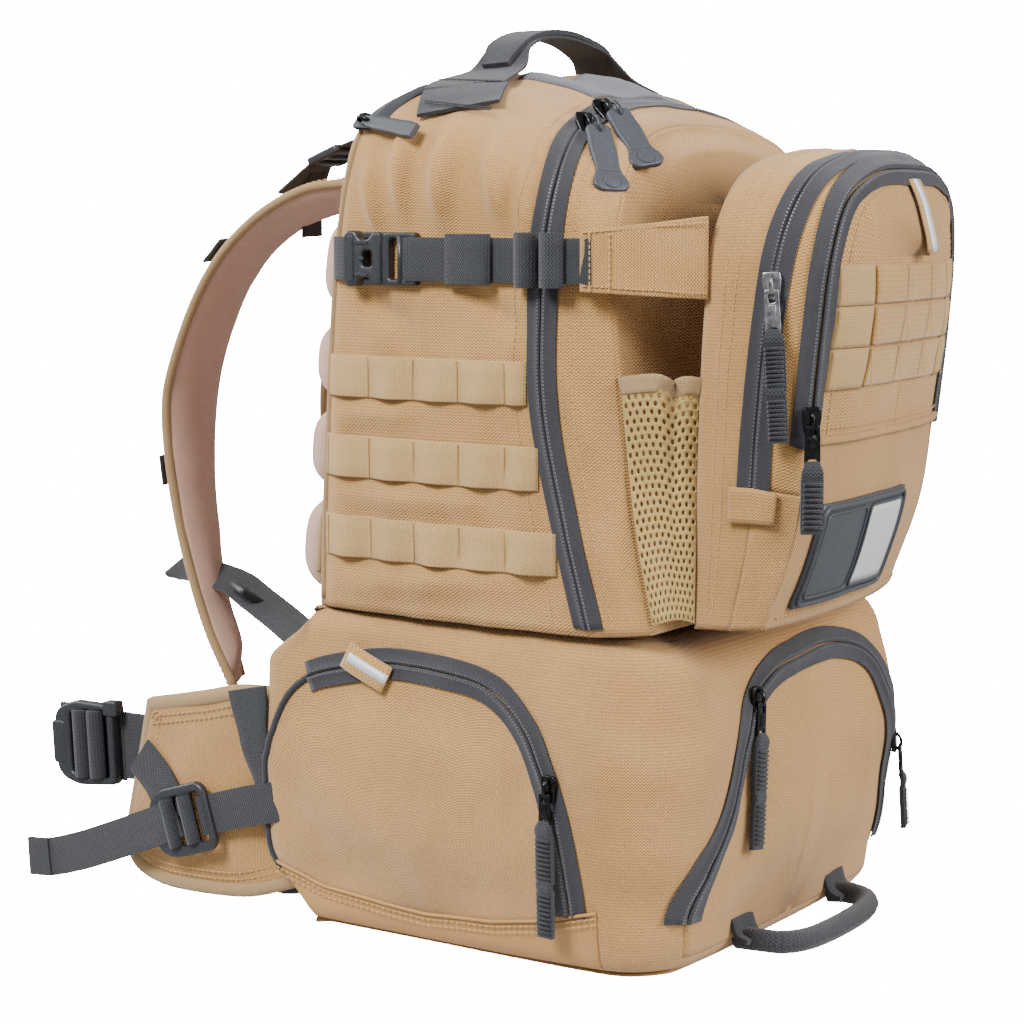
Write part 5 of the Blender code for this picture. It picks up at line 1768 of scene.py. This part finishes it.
def make_hip_buckle(side, name, out):
    body = "hip_buckle_" + name
    root = sided(side, (0.144, 0.22, 0.092), (0.145, 0.245, 0.0905), (0.144, 0.272, 0.09),
                 (0.144, 0.296, 0.0895))
    forward = Vector((0, 1, -0.06)).normalized()
    m = axes_frame((side * 0.1475, 0.288, 0.09), forward, UP)
    h = 0.0285
    outline = [(-0.0245, -h + 0.002), (-0.0245, h - 0.002), (0.0085, h), (0.0215, h - 0.004),
               (0.0275, h - 0.01), (0.0275, -h + 0.01), (0.0215, -h + 0.004), (0.0085, -h)]
    slots = (box_outline(0.0036, h - 0.006, -0.0155, 0), box_outline(0.0036, h - 0.006, -0.002, 0),
             box_outline(0.0036, h - 0.008, 0.0105, 0))
    frame_plate = plate("hip_buckle_%s_frame" % name, m, outline, 0.0085, "plastic", body, slots,
                        radius=0.0035, edge=0.002)
    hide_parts(body)
    for k, u in enumerate((-0.0088, 0.0042)):
        pts = [m @ Vector((u, v, 0.003 * side)) for v in (-h + 0.006, h - 0.006)]
        rod("hip_buckle_%s_bar_%d" % (name, k), pts, 0.0032, "webbing", body, 12)
        wraps = [m @ Vector((u + 0.0052 * math.cos(q), 0, (0.0055 * math.sin(q) + 0.002) * side))
                 for q in (math.pi * j / 10 for j in range(11))]
        band("hip_buckle_%s_wrap_%d" % (name, k), wraps,
             [(p - m @ Vector((u, 0, 0.002 * side))).normalized() for p in wraps], 2 * h - 0.012, 0.002,
             "webbing", body)
    plate("hip_buckle_%s_tongue" % name, axes_frame(m @ Vector((0.024, 0, 0.0012 * side)), forward, UP),
          box_outline(0.006, 0.0145), 0.0072, "plastic", body, radius=0.003, edge=0.0016)
    plate("hip_buckle_%s_tab" % name, axes_frame(m @ Vector((-0.0235, h - 0.004, 0.0006 * side)), forward,
                                                 UP), box_outline(0.006, 0.005), 0.009, "plastic", body,
          radius=0.002, edge=0.0014)
    for k, shift in enumerate((0.0, 0.0026)):
        points = [p + out * (shift - 0.006) for p in root]
        piece = band("hip_belt_web_%s_%d" % (name, k), points, out, 0.044, 0.0018, "webbing", None,
                     smooth_steps=24)
        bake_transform(piece)
    square = [m @ Vector((u, 0, -0.006 * side)) for u in (-0.026, -0.01, 0.01, 0.024, 0.03)]
    band("hip_belt_back_" + name, square, out, 0.05, 0.0018, "webbing", body)


def make_stabiliser(side, name, out):
    """Stabiliser webbing over the wing, with its big round ladder lock and loose tail."""
    body = "hip_wing_" + name
    lead = sided(side, (0.1575, 0.115, 0.076), (0.16, 0.14, 0.07), (0.1615, 0.162, 0.0635),
                 (0.1625, 0.179, 0.0585))
    band("stabiliser_lead_" + name, lead, out, WEB_WIDTH, 0.0018, "webbing", body, smooth_steps=20)
    back = sided(side, (0.156, 0.236, 0.09), (0.158, 0.22, 0.078), (0.1605, 0.208, 0.066),
                 (0.162, 0.196, 0.056))
    band("stabiliser_anchor_" + name, back, out, 0.027, 0.0018, "webbing", body, smooth_steps=20)
    along = Vector((0, 0.955, -0.3)).normalized()
    centre = Vector((side * 0.164, 0.192, 0.054))
    m = axes_frame(centre, along, UP)
    h = 0.0225
    outline = [(-0.025, -h * 0.78), (-0.025, h * 0.78), (-0.02, h), (0.012, h), (0.0215, h * 0.8),
               (0.0265, h * 0.4), (0.0265, -h * 0.4), (0.0215, -h * 0.8), (0.012, -h), (-0.02, -h)]
    slots = (box_outline(0.005, h * 0.72, -0.0155, 0), box_outline(0.0045, h * 0.72, 0.001, 0))
    lock = plate("stabiliser_lock_%s_frame" % name, m, outline, 0.0058, "plastic", body, slots,
                 radius=0.004, edge=0.0018)
    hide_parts("stabiliser_lock_" + name)
    for k, u in enumerate((-0.0072, 0.0085)):
        wraps = [m @ Vector((u + 0.004 * math.cos(q), 0, (0.005 * math.sin(q) + 0.0014) * side))
                 for q in (math.pi * j / 10 for j in range(11))]
        faces = [(p - m @ Vector((u, 0, 0.001 * side))).normalized() for p in wraps]
        band("stabiliser_wrap_%s_%d" % (name, k), wraps, faces, h * 1.4, 0.0018, "webbing", body)
    tail = sided(side, (0.165, 0.196, 0.056), (0.1668, 0.208, 0.05), (0.1672, 0.24, 0.037),
                 (0.168, 0.275, 0.0235), (0.1685, 0.305, 0.0145), (0.169, 0.322, 0.013))
    tail_piece = band("stabiliser_tail_%s_web" % name, tail, out, WEB_WIDTH, 0.0017, "webbing", body,
                      smooth_steps=44)
    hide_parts("stabiliser_tail_" + name)
    fold = sided(side, (0.1695, 0.305, 0.0145), (0.17, 0.314, 0.0136), (0.1702, 0.323, 0.013))
    band("stabiliser_fold_" + name, fold, out, WEB_WIDTH, 0.0026, "webbing", body, smooth_steps=10)


# ------------------------------------------------------------------ back

def rounded_pad(name, centre_z, half_x, half_z, thick, mat, node, plane, seed):
    """Foam pad on the back: a crowned block whose rim lies on the wall."""
    cols, rows_count = 56, 22
    rows = []
    for j in range(rows_count + 1):
        v = j / rows_count * 2 - 1
        row = []
        for i in range(cols + 1):
            u = i / cols * 2 - 1
            limit = 1 - max(0.0, (abs(u) - (1 - half_z / half_x * 0.55))
                            / (half_z / half_x * 0.55)) ** 2.6 * 0.45
            x = u * half_x
            z = centre_z + v * half_z * limit
            crown = max(0.0, 1 - abs(u) ** 14) ** 0.6 * max(0.0, 1 - abs(v) ** 3.2) ** 0.75
            y = plane(z) + 0.001 + thick * crown + wrinkle(Vector((x, 0, z)), 34.0, 0.0014,
                                                           seed=seed) * crown
            row.append(Vector((x, y, z)))
        rows.append(row)
    bm = grid_mesh(rows)
    orient(bm, Outward(lambda p: BACK))
    obj = finish_piece(name, bm, [mat], None, thickness=0.0012)
    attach(obj, "pack")
    if node:
        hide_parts(node)
    rim = rows[0] + [r[-1] for r in rows[1:]] + rows[-1][::-1][1:] + [r[0] for r in rows[::-1][1:-1]]
    line = [(p, BACK) for p in rim]
    tube_on(name + "_piping", line + [line[0]], 0.0018, "binding", "pack", lift=0.0006)
    return rows


def make_back():
    for name, low, high, node in (("lower", 0.206, 0.268, "back_pad_lower"),
                                  ("middle", 0.271, 0.323, "back_pad_middle"), ("high", 0.326, 0.376, None),
                                  ("upper", 0.379, 0.44, "back_pad_upper")):
        rounded_pad("back_pad_%s_foam" % name, (low + high) / 2, 0.14, (high - low) / 2, 0.027, "padding",
                    node, back_plane, 81.0 + low)
    rounded_pad("lumbar_pad_foam", 0.11, 0.104, 0.08, 0.019, "padding", "lumbar_pad", lambda z: 0.0955,
                91.0)
    for side, name in SIDES:
        yoke = sided(side, (0.1, 0.0715, 0.456), (0.062, 0.0745, 0.458), (0.02, 0.075, 0.4585),
                     (0, 0.075, 0.4585))
        band("yoke_web_" + name, yoke, BACK, 0.03, 0.0022, "webbing", "pack", smooth_steps=20)
        foot = sided(side, (0.067, 0.07, 0.466), (0.067, 0.085, 0.4615), (0.067, 0.104, 0.456),
                     (0.068, 0.118, 0.453))
        web = band("shoulder_root_" + name, foot, Vector((0, 0.3, 1)), 0.048, 0.0034, "tan_fabric", None,
                   smooth_steps=20)
        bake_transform(web)
    hang = vectors((-0.022, 0.0725, 0.47), (-0.016, 0.085, 0.476), (0, 0.092, 0.479), (0.016, 0.085, 0.476),
                   (0.022, 0.0725, 0.47))
    band("hang_loop", hang, Vector((0, 0.4, 1)), 0.02, 0.002, "webbing", "pack", smooth_steps=28)


# ------------------------------------------------------------------ pouch trim

def face_place(x, z):
    """Pouch face parameters of the point at x and z in the pouch's own frame."""
    best = None
    for i in range(41):
        s = i / 40
        edge = curve_at(RING_2, s)
        if abs(edge.x) < 0.02:
            continue
        t = 1 - x / edge.x
        if 0 <= t < 1:
            zz = edge.z + (min(edge.z, 0.415) - edge.z) * t
            gap = abs(zz - z)
            if best is None or gap < best[0]:
                best = (gap, s, t)
    gap, s, t = best
    for _ in range(26):
        edge = curve_at(RING_2, s)
        t = max(0.0, min(0.999, 1 - x / edge.x))
        zz = edge.z + (min(edge.z, 0.415) - edge.z) * t
        s += (z - zz) * (1 if s < 0.5 else -1) * 1.2
        s = max(0.0, min(1.0, s))
    return s, t


def face_point(x, z, lift=0.0):
    """Point and normal on the pouch face, smooth across the middle."""
    if abs(x) < 0.004:
        p0, n0 = face_point(-0.004, z, lift)
        p1, n1 = face_point(0.004, z, lift)
        t = (x + 0.004) / 0.008
        return p0.lerp(p1, t), n0.lerp(n1, t).normalized()
    s, t = face_place(x, z)
    p, n = POUCH_FACE.frame(s, t, lift)
    local = POUCH_TURN.inverted() @ p
    local.x, local.z = x, z
    return POUCH_TURN @ local, n


def face_patch(name, x0, x1, z0, z1, lift, mat, body, cells=(24, 12), thickness=0.0012, bulge=0.0,
               place=face_point):
    rows = []
    for j in range(cells[1] + 1):
        z = z0 + (z1 - z0) * j / cells[1]
        row = []
        for i in range(cells[0] + 1):
            x = x0 + (x1 - x0) * i / cells[0]
            u, v = i / cells[0], j / cells[1]
            soft_edge = bulge * (max(0, 1 - (2 * v - 1) ** 6)) * (max(0, 1 - (2 * u - 1) ** 8))
            p, n = place(x, z, lift)
            row.append(p + n * soft_edge)
        rows.append(row)
    bm = grid_mesh(rows)
    orient(bm, Outward(lambda p: -BACK))
    return finish_piece(name, bm, [mat], body, thickness=thickness)


def low_point(x, z, lift=0.0):
    across = min(1.0, abs(x) / 0.108)
    s = (1 - across) / 2 if x < 0 else (1 + across) / 2
    t = (z - 0.2055) / (0.318 - 0.2055)
    return POUCH_LOW.frame(s, t, lift)


def make_pouch_trim():
    bm_tacks = bmesh.new()
    for row, z in enumerate((0.353, 0.3765, 0.4)):
        face_patch("pouch_loop_%d" % row, -0.062, 0.06, z - 0.0108, z + 0.0108, 0.0016, "loop",
                   "pouch_front", (40, 10), 0.002, 0.0005)
    for row, z in enumerate((0.353, 0.3765, 0.4)):
        face_patch("pouch_ladder_%d" % row, -0.1, -0.064, z - 0.0116, z + 0.0116, 0.0014, "tan_webbing",
                   "pouch_front", (14, 8), 0.0016, 0.0007)
        face_patch("pouch_ladder_end_%d" % row, 0.062, 0.096, z - 0.0116, z + 0.0116, 0.0014, "tan_webbing",
                   "pouch_front", (14, 8), 0.0016, 0.0007)
        for x in (-0.0985, -0.0635, -0.0225, 0.0205, 0.0615, 0.094):
            p, n = face_point(x, z, 0.0044)
            bar_tack(bm_tacks, p, UP, UP.cross(n).normalized(), n, 0.0215)
    bars_piece("pouch_ladder_tacks", bm_tacks, "tan_thread", "pouch_front")
    tag = [POUCH_FACE.frame(0.5, 0.12 + 0.84 * k / 14, 0.0022) for k in range(15)]
    strip("reflective_tag_base", tag, [(-0.01, 0), (-0.0095, 0.0008), (0.0095, 0.0008), (0.01, 0)],
          ["tan_webbing"], "pouch_front", thickness=0.001)
    strip("reflective_tag_stripe", tag, [(-0.0042, 0.0012), (0.0042, 0.0012)], ["reflective"],
          "pouch_front", thickness=0.0004)
    hem = [face_point(x, 0.3135, 0.001) for x in [-0.104 + 0.208 * k / 40 for k in range(41)]]
    tube_on("pouch_front_hem", hem, 0.0024, "tan_fabric", "pouch_front")
    stitches("pouch_front_hem_stitch",
             [[face_point(x, 0.32, 0.0012) for x in [-0.102 + 0.204 * k / 40 for k in range(41)]]],
             "pouch_front")
    make_id_patch()
    row = [low_point(x, 0.212, 0.001) for x in [-0.1 + 0.2 * k / 30 for k in range(31)]]
    stitches("pouch_low_stitch", [row], "pouch")


def make_id_patch():
    """Moulded rubber patch: raised rim, plain panel at the left, pale blank window at the right."""
    x0, x1, z0, z1 = -0.09, 0.032, 0.2165, 0.277
    base = face_patch("id_patch_rubber", x0, x1, z0, z1, 0.003, "rubber", "pouch", (36, 18), 0.004, 0.0004,
                      place=low_point)
    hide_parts("id_patch")

    def rim(name, a, b, c, d, radius, mat, lift):
        corners = rounded_outline([(a, c), (b, c), (b, d), (a, d)], 0.005, 5)
        path = resample([Vector((p.x, p.y, 0)) for p in corners]
                        + [Vector((corners[0].x, corners[0].y, 0))], 0.0025)
        line = [low_point(p.x, p.y, lift) for p in path]
        tube_on(name, line, radius, mat, "pouch", 8, closed_ends=False)
    rim("id_patch_rim", x0 + 0.0022, x1 - 0.0022, z0 + 0.0022, z1 - 0.0022, 0.0016, "rubber", 0.0036)
    middle = (x0 + x1) / 2
    rim("id_patch_window_rim", middle + 0.0025, x1 - 0.0058, z0 + 0.006, z1 - 0.006, 0.001, "rubber",
        0.0038)
    rim("id_patch_panel_rim", x0 + 0.0058, middle - 0.0025, z0 + 0.006, z1 - 0.006, 0.0009, "rubber",
        0.0036)
    face_patch("id_patch_window", middle + 0.0034, x1 - 0.0066, z0 + 0.0068, z1 - 0.0068, 0.004, "window",
               "pouch", (12, 10), 0.0006, 0.0, place=low_point)


def make_zip_pulls():
    for side, name in SIDES:
        wall = LEFT if side < 0 else RIGHT
        p, n = wall.side_at(-0.0868, 0.112, 0.0016)
        zip_pull("side_pull_" + name, p, (0, -0.02, -1), n, "side_slider_" + name, "side_puller_" + name,
                 webs=2, web_length=0.036, metal="dark_metal", web_width=0.0125, tab=0.02)
        pull_nodes("side_slider_" + name, "side_puller_" + name)
    p, n = front_wall(-0.056, 0.1545, 0.0016)
    zip_pull("front_pull", p, (-0.16, -0.05, -1), n, "front_slider", "front_puller", webs=2,
             web_length=0.036, metal="dark_metal", web_width=0.0125, tab=0.022)
    pull_nodes("front_slider", "front_puller")
    p, n = front_wall(0.1165, 0.099, 0.0016)
    zip_pull("front_pull_right", p, (0.05, -0.05, -1), n, "front_flap", "front_flap", webs=1,
             web_length=0.036, metal="dark_metal", web_width=0.0125, tab=0.022)
    s = arch_s(RING_1, 0.4, -1)
    p, n = POUCH_REAR.frame(s, 1.0, 0.0022)
    out = Vector((-0.92, -0.38, 0.05)).normalized()
    zip_pull("pouch_rear_pull", p + out * 0.0008, (0.01, -0.06, -1), out, "pouch_rear_slider",
             "pouch_rear_puller", webs=2, web_length=0.033, metal="metal", web_width=0.012, tab=0.026)
    pull_nodes("pouch_rear_slider", "pouch_rear_puller")
    s = arch_s(RING_2, 0.326, -1)
    p, n = POUCH_MID.frame(s, 1.0, 0.0022)
    out = Vector((-0.8, -0.6, 0.05)).normalized()
    zip_pull("pouch_front_pull", p + out * 0.0008, (0.0, 0.0, -1), out, "pouch_front_slider",
             "pouch_front_puller", webs=1, web_length=0.04, metal="dark_metal", web_width=0.0125, tab=0.024)
    pull_nodes("pouch_front_slider", "pouch_front_puller")
    tape = line_on(SHELL, [(0.318, 0.91), (0.345, 0.91), (0.372, 0.91), (0.4, 0.91)], 0.004, 0.0008)
    strip("back_zip_tape", tape, [(-0.0085, 0), (-0.0012, 0.0004), (-0.0004, 0.0018), (0.0004, 0.0018),
                                  (0.0012, 0.0004), (0.0085, 0)], ["tape"], "pack", thickness=0.0008)
    start, out = SHELL.frame(0.322, 0.93, 0.002)
    end, _ = SHELL.frame(0.3, 0.6, 0.006)
    down = (end - start).normalized()
    out = (out - down * out.dot(down)).normalized()
    zip_slider("back_zip_slider", start, down, out, "pack")
    bar = band("back_zip_pull", [start + out * 0.0035 + down * 0.044 * k / 20 for k in range(21)], out,
               0.0095, 0.0038, "rubber", "back_zip_puller", widths=[0.6, 0.9, 1, 1, 1, 1.1, 1.0])
    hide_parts("back_zip_puller")


def make_drag_handle():
    points = [(-0.06, -0.1545, 0.01), (-0.061, -0.168, 0.011), (-0.056, -0.182, 0.0105),
              (-0.04, -0.19, 0.0098), (-0.015, -0.1925, 0.0094), (0.015, -0.1925, 0.0094),
              (0.04, -0.19, 0.0098), (0.056, -0.182, 0.0105), (0.061, -0.168, 0.011), (0.06, -0.1545, 0.01)]
    path = smooth_path(points, 70)
    line = [(p, UP) for p in path]
    grip = tube_on("drag_handle_grip", line, 0.0068, "webbing", "drag_handle", sides=14)
    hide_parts("drag_handle")
    bm = bmesh.new()
    for k in range(10, 61, 2):
        t = (path[k + 1] - path[k - 1]).normalized()
        side = t.cross(UP).normalized()
        add_bar(bm, path[k] + side * 0.0066 - t * 0.001, path[k] + side * 0.0066 + t * 0.0018, UP, side,
                0.0005, 0.0006)
    bars_piece("drag_handle_stitch", bm, "black_thread", "drag_handle")
    for side, name in SIDES:
        foot = sided(side, (0.06, -0.156, 0.024), (0.06, -0.16, 0.014), (0.0605, -0.168, 0.0105))
        web = band("drag_handle_foot_" + name, foot, Vector((0, -1, 0.4)), WEB_WIDTH, 0.003, "webbing",
                   None, smooth_steps=12)
        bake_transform(web)


def make_top_trim():
    """Grey loop patch behind the handle and the tan tags."""
    rows = []
    for j in range(11):
        t = 0.1 + 0.42 * j / 10
        rows.append([SHELL.at(0.5 + (k / 20 - 0.5) * 0.16, t, 0.0012) for k in range(21)])
    bm = grid_mesh(rows)
    orient(bm, Outward(lambda p: UP))
    finish_piece("top_loop_patch", bm, ["grey_loop"], "pack", thickness=0.0014)
    for wall, name in WALLS:
        points = [wall.side_at(0.064 - 0.0315 * k / 12, 0.1745 - 0.013 * k / 12,
                               0.0048 + 0.001 * math.sin(math.pi * k / 12)) for k in range(13)]
        strip("zip_tag_" + name, points, [(-0.0085, 0), (-0.008, 0.0006), (0.008, 0.0006), (0.0085, 0)],
              ["loop"], "side_flap_" + name, thickness=0.0014)
        strip("zip_tag_stripe_" + name, points[1:], [(-0.003, 0.0009), (0.003, 0.0009)], ["reflective"],
              "side_flap_" + name, thickness=0.0004)


def paint_inner_frame():
    """Looks of the hidden plastic sheet and the two stays, which keep their own shape."""
    for node, key in (("frame_sheet", "frame_plastic"), ("stay_left", "aluminium"),
                      ("stay_right", "aluminium")):
        mesh = bpy.data.objects[node].data
        mesh.materials.clear()
        mesh.materials.append(MATS[key])


def make_garage(ring, rear, front, z, side, name):
    """Fabric tab over the lower end of a pouch zip."""
    rows = []
    for k in range(7):
        s = arch_s(ring, z - 0.012 + 0.02 * k / 6, side)
        row = [rear.at(s, t, 0.0038) for t in (0.62, 0.7, 0.85, 0.98)]
        row += [front.at(s, t, 0.0038) for t in (0.1, 0.28, 0.44, 0.52)]
        rows.append(row)
    bm = grid_mesh(rows)
    orient(bm, SHELL_SIDE)
    finish_piece("zip_garage_" + name, bm, ["tan_fabric"], "pouch", thickness=0.0014)


# ------------------------------------------------------------------ stage

def make_stage():
    bpy.ops.mesh.primitive_plane_add(size=8, location=(0, 0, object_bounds()[0][2] - 0.0005))
    floor = bpy.context.object
    floor.name = "floor"
    n = Nodes("floor", 0.9, specular=0.1)
    n.colour(n.ramp(n.noise(3.0), [(0.3, (0.92, 0.92, 0.92)), (0.7, (0.95, 0.95, 0.95))]))
    reach = n.add("ShaderNodeVectorMath", operation="LENGTH")
    n.link(n.coords.outputs["Object"], reach.inputs[0])
    fade = n.ramp(reach.outputs["Value"], [(0.14, (0.6, 0.6, 0.6)), (0.42, (0.0, 0.0, 0.0))])
    n.link(fade, n.shader.inputs["Alpha"])
    floor.data.materials.append(MATS["floor"])
    world = bpy.data.worlds.new("studio")
    bpy.context.scene.world = world
    world.use_nodes = True
    tree = world.node_tree
    soft = tree.nodes["Background"]
    soft.inputs["Strength"].default_value = 0.55
    soft.inputs["Color"].default_value = (1, 1, 1, 1)
    white = tree.nodes.new("ShaderNodeBackground")
    white.inputs["Color"].default_value = (1, 1, 1, 1)
    white.inputs["Strength"].default_value = 40.0
    seen = tree.nodes.new("ShaderNodeLightPath")
    mix = tree.nodes.new("ShaderNodeMixShader")
    tree.links.new(seen.outputs["Is Camera Ray"], mix.inputs[0])
    tree.links.new(soft.outputs[0], mix.inputs[1])
    tree.links.new(white.outputs[0], mix.inputs[2])
    tree.links.new(mix.outputs[0], tree.nodes["World Output"].inputs["Surface"])
    for name, place, size, power in (("key", (-2.4, 0.3, 2.3), 1.0, 150),
                                     ("fill", (0.3, -2.8, 1.5), 1.6, 120),
                                     ("rim", (-0.6, 2.6, 1.8), 1.6, 60)):
        data = bpy.data.lights.new(name, "AREA")
        data.energy = power
        data.size = size
        lamp = bpy.data.objects.new(name, data)
        lamp.location = place
        lamp.rotation_euler = (Vector((0, 0, 0.28)) - Vector(place)).to_track_quat("-Z", "Y").to_euler()
        bpy.context.collection.objects.link(lamp)


def make_camera():
    data = bpy.data.cameras.new("camera")
    data.sensor_width = 36.0
    data.lens = CAMERA_LENS
    camera = bpy.data.objects.new("camera", data)
    azimuth, elevation = math.radians(CAMERA_TURN), math.radians(CAMERA_TILT)
    look = Vector((-math.sin(azimuth) * math.cos(elevation), math.cos(azimuth) * math.cos(elevation),
                   -math.sin(elevation)))
    camera.location = CAMERA_PLACE
    camera.rotation_euler = look.to_track_quat("-Z", "Y").to_euler()
    bpy.context.collection.objects.link(camera)
    bpy.context.scene.camera = camera


make_materials()
make_camera()
make_stage()
make_upper_body()
make_base_wall()
make_flaps()
make_boot()
make_pouch()
make_pouch_trim()
make_mesh_gusset(-1, "left")
make_mesh_gusset(1, "right")
make_molle()
for side, name in SIDES:
    make_buckle(side, name)
    make_strap(side, name)
    make_wing(side, name)
    make_shoulder(side, name)
    make_hip(side, name)
make_carry_handle()
make_main_pullers()
make_zip_pulls()
make_drag_handle()
make_back()
make_top_trim()
for side, name in SIDES:
    make_garage(RING_1, POUCH_REAR, POUCH_MID, 0.28, side, name)
paint_inner_frame()
